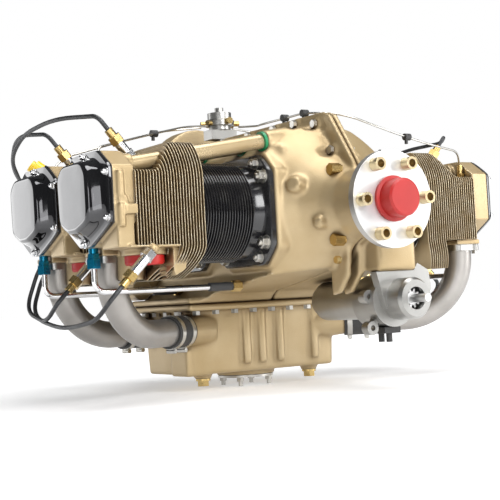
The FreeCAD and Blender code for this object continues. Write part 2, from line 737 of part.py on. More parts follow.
def pushrod_tubes():
    shapes = []
    for n in CYLINDERS:
        for line in TUBE_LINES:
            shape = rod(tube_point(CASE_BOSS_U, line), tube_point(BOX_U + 10, line), size("tube_dia") / 2)
            shapes.append(placed(shape, cylinder_place(n)))
    return Part.makeCompound(shapes)


def tube_seals():
    shapes = []
    for n in CYLINDERS:
        for line in TUBE_LINES:
            start, end = tube_point(CASE_BOSS_U, line), tube_point(CASE_BOSS_U + 5, line)
            ring = rod(start, end, 16).cut(rod(start, end, size("tube_dia") / 2))
            shapes.append(placed(ring, cylinder_place(n)))
    return Part.makeCompound(shapes)


register("pushrod_tubes", feature("pushrod_tubes", pushrod_tubes()))
register("tube_seals", feature("tube_seals", tube_seals()))


# ---------------------------------------------------------------- spark plugs

def spark_plugs():
    """Two plugs to a cylinder: hexagon, barrel, and the brass nut of the lead."""
    shapes = []
    for n in CYLINDERS:
        for which in ("top", "bottom"):
            seat, way = plug_axis(which)
            reach = 30 if which == "top" else 44
            plug = union([hexagon(seat, way, 20, 12), rod(seat + way * 12, seat + way * reach, 8)])
            nut = union([hexagon(seat + way * reach, way, 19, 13),
                         rod(seat + way * (reach + 13), seat + way * (reach + 26), 6.5)])
            plug = seated(placed(plug, cylinder_place(n)), f"cylinder_head_{n}")
            shapes += [plug, placed(nut, cylinder_place(n))]
    return Part.makeCompound(shapes)


register("spark_plugs", feature("spark_plugs", spark_plugs()))


# ---------------------------------------------------------------- exhaust plugs

PLUG_BODY, PLUG_TOP = 14.0, 12.0


def exhaust_plug_body():
    """A moulded shipping plug: a flat head under the port's face and a spigot inside it."""
    owner = new_body("exhaust_plug_master")
    outline = new_sketch(owner, "plug_outline", "XZ_Plane")
    face, spigot = EXHAUST_FACE, PORT_BORE - 0.08
    low = face - PLUG_BODY
    draw_loop(outline, [(0, low + 4), (21, low + 4), (23, low), (28, low), (30, low + 3), (30, face - 0.1),
                        (spigot, face - 0.1),
                        (spigot - 1, face + PLUG_TOP), (0, face + PLUG_TOP)])
    revolve(owner, "plug_turned", outline, "V_Axis")
    return owner


def exhaust_plug_place(number):
    u, y = EXHAUST_PORT
    return cylinder_place(number).multiply(Placement(Vector(-u, y, 0), Rotation()))


body_copies(exhaust_plug_body(), [(f"exhaust_plug_{n}", exhaust_plug_place(n)) for n in CYLINDERS])


# ---------------------------------------------------------------- intake pipes, hoses and clamps

PIPE_R = size("pipe_dia") / 2
PORT_FLANGE = 11.0
HOSE_START, HOSE_END = 62.0, 112.0


def intake_pipes(numbers):
    shapes = []
    for n in numbers:
        root, way, under_port = intake_line(n)
        port = Vector(under_port.x, under_port.y, PORT_Z - PORT_FLANGE)
        shapes.append(tube([port, under_port, root + way * 96], PIPE_R, bend_share=0.92))
    return Part.makeCompound(shapes)


def intake_flanges():
    """The flange that holds each pipe to its port: a plate with two ears, and a bolt in each ear."""
    shapes = []
    u, y = INTAKE_PORT
    for n in CYLINDERS:
        plate = block((-u - 25, y - 24, PORT_Z - PORT_FLANGE), (-u + 25, y + 24, PORT_Z))
        upright = [e for e in plate.Edges if abs(e.Length - PORT_FLANGE) < 0.1]
        plate = plate.makeFillet(12, upright)
        corners = [Vector(-u + 21.5 * i, y - 19.5 * i, PORT_Z - PORT_FLANGE) for i in (-1, 1)]
        plate = union([plate] + [rod(corner, corner + Z * PORT_FLANGE, 8) for corner in corners])
        plate = plate.cut(rod(Vector(-u, y, PORT_Z - PORT_FLANGE), Vector(-u, y, PORT_Z - 3), PIPE_R))
        bolts = [hexagon(corner, -Z, 9, 6) for corner in corners]
        shapes += [placed(s, cylinder_place(n)) for s in [plate] + bolts]
    return Part.makeCompound(shapes)


def intake_hoses():
    shapes = []
    for n in CYLINDERS:
        root, way, _ = intake_line(n)
        start, end = root + way * HOSE_START, root + way * HOSE_END
        shapes.append(seated(rod(start, end, PIPE_R + 4).cut(rod(start, end, PIPE_R)), "oil_sump"))
    return Part.makeCompound(shapes)


def hose_clamps():
    """Steel bands with a screw housing, two on each hose."""
    shapes = []
    for n in CYLINDERS:
        root, way, _ = intake_line(n)
        for at in (HOSE_START + 5, HOSE_END - 14):
            start, end = root + way * at, root + way * (at + 9)
            band = rod(start, end, PIPE_R + 5.5).cut(rod(start, end, PIPE_R + 4))
            side = way.cross(Z).normalize() * 14
            middle = (start + end) * 0.5 - Z * (PIPE_R + 8)
            housing = rod(middle - side * 0.6, middle + side * 0.6, 4)
            shapes.append(band.fuse(housing))
    return Part.makeCompound(shapes)


register("intake_pipes_left", feature("intake_pipes_left", intake_pipes((1, 3))))
register("intake_pipes_right", feature("intake_pipes_right", intake_pipes((2, 4))))
register("intake_flanges", feature("intake_flanges", intake_flanges()))
register("intake_hoses", feature("intake_hoses", intake_hoses()))
register("hose_clamps", feature("hose_clamps", hose_clamps()))


# ---------------------------------------------------------------- oil drain-back lines

DRAIN_U, DRAIN_Y = 381.5, 22.0


def drain_fittings():
    """The blue fitting under each rocker box: stem and nut."""
    shapes = []
    for n in CYLINDERS:
        top = Vector(-DRAIN_U, DRAIN_Y, -50)
        stem = rod(top, top - Z * 8, 7.5).fuse(hexagon(top - Z * 8, -Z, 17, 8))
        nut = hexagon(top - Z * 16, -Z, 20, 15)
        stem = seated(placed(stem, cylinder_place(n)), f"cylinder_head_{n}")
        shapes += [stem, placed(nut, cylinder_place(n))]
    return Part.makeCompound(shapes)


# In front of the intake pipe and inward to the case, in the cylinder's own frame.
DRAIN_ROUTE = [(-DRAIN_U, DRAIN_Y, -81), (-DRAIN_U, DRAIN_Y, -117), (-342, 12, -117), (-182, 20, -117)]
DRAIN_UNION = Vector(-121, 23, -117)


def drain_tubes():
    """Steel tubes from the fittings, each with a hose and a union on the crankcase's side."""
    shapes = []
    for n in CYLINDERS:
        place = cylinder_place(n)
        corners = [Vector(*corner) for corner in DRAIN_ROUTE]
        way = (DRAIN_UNION - corners[-1]).normalize()
        hose = rod(corners[-1], DRAIN_UNION - way * 18, 7)
        joint = hexagon(DRAIN_UNION - way * 18, way, 16, 17)
        casting = "crankcase_left" if n % 2 else "crankcase_right"
        shapes += [placed(tube(corners, 4.8), place), placed(hose, place)]
        shapes.append(seated(placed(joint, place), casting))
    return Part.makeCompound(shapes)


register("drain_fittings", feature("drain_fittings", drain_fittings()))
register("drain_tubes", feature("drain_tubes", drain_tubes()))


# ---------------------------------------------------------------- fuel injection

DIVIDER = Vector(0, 495, 182)


def flow_divider():
    """The fuel flow divider on its bracket over the case's split line."""
    foot = block((-27, 480, RIDGE_TOP), (27, 510, DIVIDER.z - 6))
    turned = [(0, 0), (20, 0), (20, 8), (27, 8), (27, 17), (22, 20), (22, 32), (8, 34), (8, 42), (0, 42)]
    face = Part.Face(Part.makePolygon([Vector(r, 0, h) for r, h in turned] + [Vector()]))
    body = face.revolve(Vector(), Z, 360)
    body.Placement = Placement(DIVIDER - Z * 6, Rotation())
    ports = [rod(DIVIDER + Z * 6, DIVIDER + Z * 6 + Vector(side * 34, way * 12, 0), 5)
             for side in (-1, 1) for way in (-1, 1)]
    inlet = rod(DIVIDER + Z * 8, DIVIDER + Vector(0, -38, 8), 6)
    return union([foot, body, inlet] + ports)


LINE_ROUTES = {
    1: [(-34, 483, 182), (-92, 462, 176), (-190, 400, 152), (-290, 330, 126), (-345, 300, 112),
        (-352, 289, 84)],
    3: [(-34, 507, 182), (-110, 520, 176), (-220, 520, 148), (-320, 500, 120), (-352, 483, 84)],
    2: [(34, 483, 182), (50, 440, 178), (14, 380, 170), (14, 230, 169), (60, 186, 160), (140, 178, 134),
        (240, 196, 116), (330, 216, 106), (352, 238, 84)],
    4: [(34, 507, 182), (110, 520, 176), (220, 500, 148), (320, 460, 120), (352, 432, 84)],
}


def injector_lines():
    return Part.makeCompound([tube(route, 1.8) for route in LINE_ROUTES.values()])


def injector_nozzles():
    shapes = []
    for n in CYLINDERS:
        foot = NOZZLE
        nozzle = union([rod(foot, foot + Z * 10, 6), hexagon(foot + Z * 10, Z, 13, 12),
                        rod(foot + Z * 22, foot + Z * 38, 4.5)])
        shapes.append(seated(placed(nozzle, cylinder_place(n)), "injector_lines"))
    return Part.makeCompound(shapes)


def line_clamps():
    """Cushioned clips that hold the injector lines."""
    shapes = []
    for place in (Vector(-190, 400, 152), Vector(14, 300, 170), Vector(14, 240, 169), Vector(190, 187, 125)):
        clip = union([rod(place - X * 6, place + X * 6, 6), rod(place - X * 2, place - X * 2 - Z * 12, 3)])
        shapes.append(seated(clip, "injector_lines", "crankcase_right"))
    return Part.makeCompound(shapes)


register("flow_divider", feature("flow_divider", flow_divider()))
register("injector_lines", feature("injector_lines", injector_lines()))
register("injector_nozzles", feature("injector_nozzles", injector_nozzles()))
register("line_clamps", feature("line_clamps", line_clamps()))


# ---------------------------------------------------------------- ignition leads

def lead_end(number, which):
    """Where a lead leaves its plug's brass nut, and a point a little further on."""
    seat, way = plug_axis(which)
    reach = (30 if which == "top" else 44) + 26
    place = cylinder_place(number)
    return place.multVec(seat + way * reach), place.multVec(seat + way * (reach + 26))


LEAD_ROUTES = {
    (1, "top"): [(-404, 330, 160), (-412, 440, 150), (-404, 520, 120), (-330, 640, 70), (-130, 760, 52)],
    (3, "top"): [(-400, 500, 158), (-380, 580, 110), (-300, 660, 60), (-124, 764, 40)],
    (1, "bottom"): [(-404, 210, -160), (-404, 330, -172), (-396, 480, -150), (-300, 640, -60),
                    (-130, 758, 24)],
    (3, "bottom"): [(-404, 400, -160), (-390, 520, -140), (-300, 650, -40), (-124, 766, 30)],
    (2, "top"): [(402, 340, 140), (404, 470, 140), (340, 640, 80), (130, 760, 52)],
    (4, "top"): [(402, 540, 140), (330, 650, 90), (124, 764, 40)],
    (2, "bottom"): [(402, 400, -160), (398, 500, -172), (350, 600, -165), (300, 690, -60), (130, 758, 24)],
    (4, "bottom"): [(400, 600, -120), (300, 690, -30), (124, 766, 30)],
}


def ignition_leads():
    """A shielded lead from a magneto to every plug."""
    shapes = []
    for (n, which), corners in LEAD_ROUTES.items():
        start, onward = lead_end(n, which)
        end = Vector(math.copysign(90, start.x), HOUSING_REAR + 92, corners[-1][2] - 4)
        lead = tube([start, onward] + [Vector(*c) for c in corners] + [end], 3.5)
        shapes.append(seated(lead, "magneto_left" if start.x < 0 else "magneto_right"))
    return Part.makeCompound(shapes)


register("ignition_leads", feature("ignition_leads", ignition_leads()))


# ---------------------------------------------------------------- starter

STARTER = Vector(66, 0, -152.6)


def at_starter(y, dx=0.0, dz=0.0):
    return STARTER + Vector(dx, y, dz)


EAR_SPOTS = ((-48, 6), (-44, -44))


def starter_body():
    """Drive housing: round nose open over the pinion, bracket to the case, gear case with two ears."""
    nose = cone(at_starter(38), at_starter(44), 29, 33).fuse(rod(at_starter(44), at_starter(84), 33))
    outline = [(-34, -14), (-50, 44.6), (26, 44.6), (34, 56), (56, 44), (60, 14), (34, -16)]
    bracket = extruded_xz([(STARTER.x + dx, STARTER.z + dz) for dx, dz in outline], 72, 88)
    case = rod(at_starter(84, -8, -2), at_starter(140, -8, -2), 42)
    ears = [rod(at_starter(96, dx, dz), at_starter(112, dx, dz), 11) for dx, dz in EAR_SPOTS]
    parts = [nose, bracket, case] + ears
    for dx, dz in EAR_SPOTS:
        parts.append(rod(at_starter(104, dx, dz), at_starter(104, dx * 0.4, dz * 0.4), 8))
    body = union(parts)
    body = body.cut(rod(at_starter(37), at_starter(80), 18))
    for dx, dz in EAR_SPOTS:
        body = body.cut(rod(at_starter(95, dx, dz), at_starter(113, dx, dz), 4.5))
    return refined(body)


def starter_motor():
    """Motor can with its end cap, the solenoid above it, and the two terminals under the housing."""
    can = rod(at_starter(140, -8, 2), at_starter(262, -8, 2), 33)
    cap = rod(at_starter(262, -8, 2), at_starter(276, -8, 2), 26)
    solenoid = rod(at_starter(140, 30, 2), at_starter(212, 30, 2), 19)
    saddle = block((STARTER.x - 24, 92, STARTER.z - 54), (STARTER.x + 8, 132, STARTER.z - 44))
    studs = [rod(at_starter(y, -8, -54), at_starter(y, -8, -68), 5) for y in (102, 122)]
    return Part.makeCompound([union([can, cap, solenoid]), union([saddle] + studs)])


PINION_TEETH, PINION_R = 10, 13.5


def gear(teeth, pitch_radius, face, tooth_share=0.48):
    """A straight-toothed gear standing on the XY plane, one tooth's middle on +X."""
    module = 2 * pitch_radius / teeth
    tip, root = pitch_radius + 0.85 * module, pitch_radius - 1.1 * module
    step = 2 * math.pi / teeth
    points = []
    for k in range(teeth):
        for radius, share in ((root, -0.34), (pitch_radius, -tooth_share / 2), (tip, -0.12),
                              (tip, 0.12), (pitch_radius, tooth_share / 2), (root, 0.34)):
            angle = step * (k + share)
            points.append(Vector(radius * math.cos(angle), radius * math.sin(angle), 0))
    return prism(points, Vector(0, 0, face))


def starter_pinion():
    teeth = gear(PINION_TEETH, PINION_R, 24)
    teeth.Placement = along(Y, at_starter(48))
    shaft = rod(at_starter(10), at_starter(79), 6.5)
    return teeth.fuse(shaft)


register("starter_body", feature("starter_body", starter_body()))
register("starter_motor", feature("starter_motor", starter_motor()))
register("starter_pinion", feature("starter_pinion", starter_pinion()))


# ---------------------------------------------------------------- crankshaft and its trim

GEAR_Y, GEAR_FACE = REAR + 8, 14.0
CRANK_TEETH, CAM_TEETH = 16, 32
CRANK_GEAR_R = CAM_Z * CRANK_TEETH / (CRANK_TEETH + CAM_TEETH)
THROW_SIDE = {1: -1, 2: 1, 3: 1, 4: -1}
JOURNAL_HALF, CHEEK = 21.5, 14.0


def cheek(y, thick, sides):
    """A crank web: a disc at the main axis drawn out to the throws on the given sides."""
    shape = rod(Vector(0, y, 0), Vector(0, y + thick, 0), 40)
    for way in sides:
        end = rod(Vector(way * THROW, y, 0), Vector(way * THROW, y + thick, 0), 29)
        web = prism([Vector(0, y, -38), Vector(way * THROW, y, -29), Vector(way * THROW, y, 29),
                     Vector(0, y, 38)], Vector(0, thick, 0))
        shape = shape.fuse([end, web])
    return shape


def crankshaft():
    """Flange, main journals, four throws and webs, and the timing gear at the rear."""
    main = size("journal_dia") / 2
    flange_r, thick = size("flange_dia") / 2, size("flange_thick")
    parts = [rod(Vector(0, 0, 0), Vector(0, thick, 0), flange_r),
             rod(Vector(0, -14, 0), Vector(0, 0, 0), 28.5),
             cone(Vector(0, thick, 0), Vector(0, 24, 0), 48, 40),
             rod(Vector(0, 24, 0), Vector(0, CASE_FRONT + 11, 0), 40)]
    parts += [rod(Vector(0, CASE_FRONT + 11, 0), Vector(0, CYL_Y[1] - 30, 0), main),
              rod(Vector(0, CYL_Y[2] + 30, 0), Vector(0, CYL_Y[3] - 30, 0), main),
              rod(Vector(0, CYL_Y[4] + 30, 0), Vector(0, GEAR_Y + GEAR_FACE, 0), main - 4)]
    for n in CYLINDERS:
        y = CYL_Y[n]
        way = THROW_SIDE[n]
        pin = Vector(way * THROW, y, 0)
        parts.append(rod(pin - Y * JOURNAL_HALF, pin + Y * JOURNAL_HALF, 27))
        if n in (1, 3):
            parts.append(cheek(y - JOURNAL_HALF - CHEEK, CHEEK, (way,)))
            gap = CYL_Y[n + 1] - y - 2 * JOURNAL_HALF
            parts.append(cheek(y + JOURNAL_HALF, gap, (way, THROW_SIDE[n + 1])))
        else:
            parts.append(cheek(y + JOURNAL_HALF, CHEEK, (way,)))
    timing = gear(CRANK_TEETH, CRANK_GEAR_R, GEAR_FACE)
    timing.Placement = along(Y, Vector(0, GEAR_Y, 0))
    parts.append(timing)
    shaft = union(parts)
    for k in range(6):
        spot = bushing_spot(k)
        shaft = shaft.cut(rod(spot - Y, spot + Y * (thick + 1), size("bushing_dia") / 2))
    return refined(shaft)


BUSHING_TURN = 1.4


def bushing_spot(k):
    angle = math.radians(60 * k + BUSHING_TURN)
    radius = size("bolt_circle") / 2
    return Vector(radius * math.cos(angle), 0, radius * math.sin(angle))


def flange_bushings():
    shapes = []
    outer, bore = size("bushing_dia") / 2, size("bushing_bore") / 2
    for k in range(6):
        spot = bushing_spot(k)
        front, back = spot - Y * size("bushing_stand"), spot + Y * size("flange_thick")
        sleeve = rod(front, back, outer).fuse(rod(back, back + Y * 4, outer + 2))
        shapes.append(refined(sleeve.cut(rod(front - Y, back + Y * 5, bore))))
    return Part.makeCompound(shapes)


def crank_cap_body():
    """The red protective cap over the crankshaft's pilot."""
    owner = new_body("crank_cap_body")
    outline = new_sketch(owner, "cap_outline", "XZ_Plane")
    pilot = 28.5 + 0.08
    draw_loop(outline, [(pilot, -0.1), (35, -0.1), (35, -5), (30, -6), (29, -28), (26, -31), (0, -31),
                        (0, -15), (pilot, -15)])
    revolve(owner, "cap_turned", outline, "V_Axis")
    return owner


register("crankshaft", feature("crankshaft", crankshaft()))
register("flange_bushings", feature("flange_bushings", flange_bushings()))
cap_body = crank_cap_body()
doc.recompute()
register("crank_cap", feature("crank_cap", cap_body.Shape.copy(), Placement(Vector(), Rotation(Z, Y))))
register("front_oil_seal", ring("front_oil_seal", Vector(0, CASE_FRONT, 0), Y, height="10 mm",
                                outer="Dimensions.journal_dia / 2 * 1 mm + 14 mm",
                                inner="Dimensions.journal_dia / 2 * 1 mm + 10.4 mm"))


# ---------------------------------------------------------------- camshaft

def camshaft():
    """Shaft with a lobe for each valve pair and the timing gear, which has twice the crank's teeth."""
    axis = Vector(0, 0, CAM_Z)
    parts = [rod(axis + Y * 160, axis + Y * (GEAR_Y + GEAR_FACE), 14),
             rod(axis + Y * GEAR_Y, axis + Y * (GEAR_Y + GEAR_FACE), 20)]
    for k, y in enumerate((190, 262, 322, 396, 456, 520)):
        turn = math.radians(90 + 60 * k)
        tip = axis + Vector(4.5 * math.cos(turn), 0, 4.5 * math.sin(turn))
        parts.append(rod(tip + Y * y, tip + Y * (y + 16), 14.5))
    timing = gear(CAM_TEETH, 2 * CRANK_GEAR_R, GEAR_FACE)
    half_tooth = 180 / CAM_TEETH
    timing.Placement = along(Y, axis + Y * GEAR_Y).multiply(Placement(Vector(), Rotation(Z, half_tooth)))
    parts.append(timing)
    return union(parts)


register("camshaft", feature("camshaft", camshaft()))


# ---------------------------------------------------------------- pistons

def piston_body():
    """Piston with two ring grooves and a hollow skirt, drawn at the end of its outward travel."""
    owner = new_body("piston_master")
    outline = new_sketch(owner, "piston_outline", "XZ_Plane")
    r = size("bore_dia") / 2 - 0.3
    crown = 275.0
    draw_loop(outline, [(-crown, 0), (-crown, r - 6), (-crown + 3, r), (-crown + 9, r), (-crown + 9, r - 4),
                        (-crown + 12, r - 4), (-crown + 12, r), (-crown + 18, r), (-crown + 18, r - 4),
                        (-crown + 21, r - 4), (-crown + 21, r), (-203.5, r), (-203.5, r - 6),
                        (-crown + 14, r - 8), (-crown + 12, 0)])
    revolve(owner, "piston_turned", outline, "H_Axis")
    return owner


def piston_place(number):
    """Pistons 1 and 2 start at the outer end of the stroke, 3 and 4 at the inner end."""
    inward = size("stroke") if number > 2 else 0.0
    return cylinder_place(number).multiply(Placement(Vector(inward, 0, 0), Rotation()))


body_copies(piston_body(), [(f"piston_{n}", piston_place(n)) for n in CYLINDERS])


# ---------------------------------------------------------------- dipstick

DIP_FOOT, DIP_TOP = Vector(-124, 562, -40), Vector(-300, 640, 112)
DIP_WAY = (DIP_TOP - DIP_FOOT).normalize()


def oil_filler_tube():
    """The filler tube from the case's rear corner, with a collar at its mouth."""
    tube_wall = rod(DIP_FOOT, DIP_TOP, 13).fuse(rod(DIP_TOP - DIP_WAY * 16, DIP_TOP, 17))
    return tube_wall.cut(rod(DIP_FOOT + DIP_WAY * 12, DIP_TOP + DIP_WAY, 10))


def dipstick():
    """The oil level gauge: yellow cap over the filler's mouth and a blade down its tube."""
    cap = rod(DIP_TOP + DIP_WAY * 0.1, DIP_TOP + DIP_WAY * 15, 16)
    grip = rod(DIP_TOP + DIP_WAY * 15, DIP_TOP + DIP_WAY * 22, 11)
    blade = rod(DIP_TOP - DIP_WAY * 190, DIP_TOP + DIP_WAY, 2.5)
    return union([cap, grip, blade])


register("oil_filler_tube", feature("oil_filler_tube", oil_filler_tube()))
register("dipstick", feature("dipstick", dipstick()))


# ---------------------------------------------------------------- checks and files

doc.recompute()
for item in doc.Objects:
    if any(word in item.State for word in ("Invalid", "Error")):
        raise RuntimeError(f"{item.Name}: {item.State}")
for name, item in NODES.items():
    if item.Shape.isNull() or not item.Shape.isValid():
        raise RuntimeError(f"{name} has no valid shape")
    if item.Label != name:
        raise RuntimeError(f"{name} is labelled {item.Label}")
os.makedirs("parts", exist_ok=True)
for name, item in NODES.items():
    item.Shape.exportStep(f"parts/{name}.step")
print(f"{len(NODES)} sub-parts written")
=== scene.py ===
import math

import bmesh
import bpy
from mathutils import Matrix, Vector


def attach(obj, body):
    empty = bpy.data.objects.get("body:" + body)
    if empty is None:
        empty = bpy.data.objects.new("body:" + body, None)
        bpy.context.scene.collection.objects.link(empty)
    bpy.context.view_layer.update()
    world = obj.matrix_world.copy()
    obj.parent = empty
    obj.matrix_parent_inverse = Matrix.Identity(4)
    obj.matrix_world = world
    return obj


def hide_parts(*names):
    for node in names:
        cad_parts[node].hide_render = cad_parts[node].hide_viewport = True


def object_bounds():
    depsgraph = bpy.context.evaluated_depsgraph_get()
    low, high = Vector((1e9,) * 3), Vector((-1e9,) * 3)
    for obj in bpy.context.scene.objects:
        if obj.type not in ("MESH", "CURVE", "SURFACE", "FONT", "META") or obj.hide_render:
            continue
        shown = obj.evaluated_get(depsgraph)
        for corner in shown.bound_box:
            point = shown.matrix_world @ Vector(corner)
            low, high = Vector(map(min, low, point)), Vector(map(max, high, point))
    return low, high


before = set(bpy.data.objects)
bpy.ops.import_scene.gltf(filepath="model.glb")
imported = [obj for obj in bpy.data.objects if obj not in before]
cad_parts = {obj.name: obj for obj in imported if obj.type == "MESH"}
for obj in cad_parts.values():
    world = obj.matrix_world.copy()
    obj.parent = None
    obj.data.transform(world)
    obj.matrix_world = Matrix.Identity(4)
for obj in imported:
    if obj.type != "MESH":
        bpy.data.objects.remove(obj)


# The engine stands alone in a white studio: a pale floor, a large soft box in front on the left, one
# overhead and a smaller one on the right, and a camera low in front of the left cylinder bank.
cad_box = [list(corner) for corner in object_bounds()]
CAMERA_PLACE = Vector((-1.1864, -1.4673, -0.1428))
CAMERA_YAW, CAMERA_PITCH, CAMERA_ROLL = math.radians(-32.24), math.radians(2.35), math.radians(-3.17)
CAMERA_LENS = 89.2
FLOOR_HEIGHT = cad_box[0][2] - 0.0005
SOFT_BOXES = {  # name: (place, aimed at, width, height, watts)
    "front_soft_box": ((0.1, -2.9, 1.3), (0.0, 0.2, 0.0), 1.6, 1.6, 85),
    "top_soft_box": ((0.2, -0.2, 2.4), (0.0, 0.2, 0.0), 2.4, 1.6, 70),
    "right_soft_box": ((2.4, -1.5, 0.7), (0.1, 0.1, 0.0), 1.0, 1.8, 45),
    "rear_soft_box": ((-1.35, 2.3, 0.25), (-0.42, 0.25, 0.05), 1.1, 1.5, 11),
    "left_soft_box": ((-2.3, -2.1, 0.0), (-0.1, 0.2, -0.2), 1.2, 1.0, 14),
    "window_upper": ((-1.83, -1.49, 0.272), (-0.42, 0.2, 0.04), 0.04, 0.03, 0.02),
    "window_lower": ((-1.83, -1.49, 0.195), (-0.42, 0.2, 0.02), 0.04, 0.1, 0.07),
}

camera_data = bpy.data.cameras.new("camera")
camera_data.lens = CAMERA_LENS
camera_data.sensor_width = 36
camera = bpy.data.objects.new("camera", camera_data)
bpy.context.scene.collection.objects.link(camera)
forward = Vector((-math.sin(CAMERA_YAW) * math.cos(CAMERA_PITCH),
                  math.cos(CAMERA_YAW) * math.cos(CAMERA_PITCH),
                  math.sin(CAMERA_PITCH)))
level = Vector((math.cos(CAMERA_YAW), math.sin(CAMERA_YAW), 0))
upright = level.cross(forward)
camera_right = level * math.cos(CAMERA_ROLL) + upright * math.sin(CAMERA_ROLL)
camera_up = upright * math.cos(CAMERA_ROLL) - level * math.sin(CAMERA_ROLL)
camera.matrix_world = Matrix.Translation(CAMERA_PLACE) @ Matrix(
    (camera_right, camera_up, -forward)).transposed().to_4x4()
bpy.context.scene.camera = camera
bpy.context.scene.view_settings.view_transform = "Standard"

for name, (place, target, width, height, watts) in SOFT_BOXES.items():
    lamp = bpy.data.lights.new(name, "AREA")
    lamp.shape = "RECTANGLE"
    lamp.size, lamp.size_y, lamp.energy = width, height, watts
    lamp_object = bpy.data.objects.new(name, lamp)
    lamp_object.location = place
    lamp_object.rotation_euler = (Vector(target) - Vector(place)).to_track_quat("-Z", "Y").to_euler()
    bpy.context.scene.collection.objects.link(lamp_object)


class Feed:
    """A socket of a material's tree. Sums on it add Math nodes, and node() adds any other node."""

    def __init__(self, tree, socket):
        self.tree, self.socket = tree, socket

    def node(self, kind, settings=None, sockets=None, out=0):
        added = self.tree.nodes.new(kind)
        for setting, value in (settings or {}).items():
            if setting == "stops":
                ramp = added.color_ramp.elements
                while len(ramp) < len(value):
                    ramp.new(0.5)
                for stop, (position, colour) in zip(ramp, value):
                    stop.position, stop.color = position, colour
            else:
                setattr(added, setting, value)
        for socket, value in (sockets or {}).items():
            if isinstance(value, Feed):
                self.tree.links.new(value.socket, added.inputs[socket])
            else:
                added.inputs[socket].default_value = value
        return Feed(self.tree, added.outputs[out])

    def math(self, operation, first, second):
        return self.node("ShaderNodeMath", {"operation": operation}, {0: first, 1: second})

    def __add__(self, other):
        return self.math("ADD", self, other)

    def __sub__(self, other):
        return self.math("SUBTRACT", self, other)

    def __mul__(self, other):
        return self.math("MULTIPLY", self, other)

    def __truediv__(self, other):
        return self.math("DIVIDE", self, other)

    def __rsub__(self, other):
        return self.math("SUBTRACT", other, self)

    __radd__ = __add__
    __rmul__ = __mul__

    def clipped(self, low, high):
        """This value stretched so that low becomes 0 and high becomes 1, and cut off outside them."""
        return self.node("ShaderNodeMapRange", {}, {0: self, 1: low, 2: high})

    def noise(self, scale, detail=2.0):
        return self.node("ShaderNodeTexNoise", {}, {"Vector": self, "Scale": scale, "Detail": detail})

    def mix(self, colour, other):
        """A colour between two, with this value as the share of the second."""
        return self.node("ShaderNodeMix", {"data_type": "RGBA"}, {0: self, 6: colour, 7: other}, 2)


def new_finish(name, **constants):
    """A material, its shader, and the object's own coordinates to start its patterns from."""
    material = bpy.data.materials.new(name)
    material.use_nodes = True
    shader = material.node_tree.nodes["Principled BSDF"]
    for words, value in constants.items():
        shader.inputs[words.replace("_", " ").title().replace("Ior", "IOR")].default_value = value
    where = material.node_tree.nodes.new("ShaderNodeTexCoord").outputs["Object"]
    return material, shader, Feed(material.node_tree, where)


def feed(shader, **feeds):
    for words, value in feeds.items():
        value.tree.links.new(value.socket, shader.inputs[words.replace("_", " ").title()])


studio = bpy.data.worlds.new("studio")
bpy.context.scene.world = studio
studio.use_nodes = True
air = Feed(studio.node_tree, studio.node_tree.nodes["Background"].outputs[0])
seen = air.node("ShaderNodeLightPath", out="Is Camera Ray")
backdrop = air.node("ShaderNodeBackground", {}, {"Color": (1, 1, 1, 1), "Strength": 1.0})
room = air.node("ShaderNodeBackground", {}, {"Color": (0.93, 0.96, 1, 1), "Strength": 0.13})
air.node("ShaderNodeMixShader", {}, {0: seen, 1: room, 2: backdrop})
surface = studio.node_tree.nodes["World Output"].inputs["Surface"]
studio.node_tree.links.new(studio.node_tree.nodes["Mix Shader"].outputs[0], surface)

floor_mesh = bpy.data.meshes.new("floor")
FLOOR_HALF = 30
floor_mesh.from_pydata([(-FLOOR_HALF, -FLOOR_HALF, FLOOR_HEIGHT), (FLOOR_HALF, -FLOOR_HALF, FLOOR_HEIGHT),
                        (FLOOR_HALF, FLOOR_HALF, FLOOR_HEIGHT), (-FLOOR_HALF, FLOOR_HALF, FLOOR_HEIGHT)],
                       [], [(0, 1, 2, 3)])
floor = bpy.data.objects.new("floor", floor_mesh)
bpy.context.scene.collection.objects.link(floor)
# The floor glows as painted light: its emission is dim near the engine and rises to white far from it, so the
# distant floor melts into the white backdrop and lights the engine from below.
white_floor, shader, where = new_finish("white_floor", roughness=0.6, emission_strength=1.0)
painted_glow_reach = where.node("ShaderNodeVectorMath", {"operation": "LENGTH"}, {0: where}, "Value").clipped(0.7, 2.6)
feed(shader, base_color=where.noise(3.0).mix((0.82, 0.82, 0.82, 1), (0.86, 0.86, 0.86, 1)),
     emission_color=painted_glow_reach.mix((0.38, 0.38, 0.38, 1), (1, 1, 1, 1)))
floor_mesh.materials.append(white_floor)


# The crankcase is two sand-cast aluminium halves bolted together on the crankshaft's plane, bead blasted and
# sprayed with satin champagne enamel, which rounds the edges and lies thinner and paler along them.
CHAMPAGNE = (0.47, 0.365, 0.215, 1)
CHAMPAGNE_DEEP = (0.37, 0.27, 0.135, 1)
CHAMPAGNE_EDGE = (0.74, 0.66, 0.5, 1)


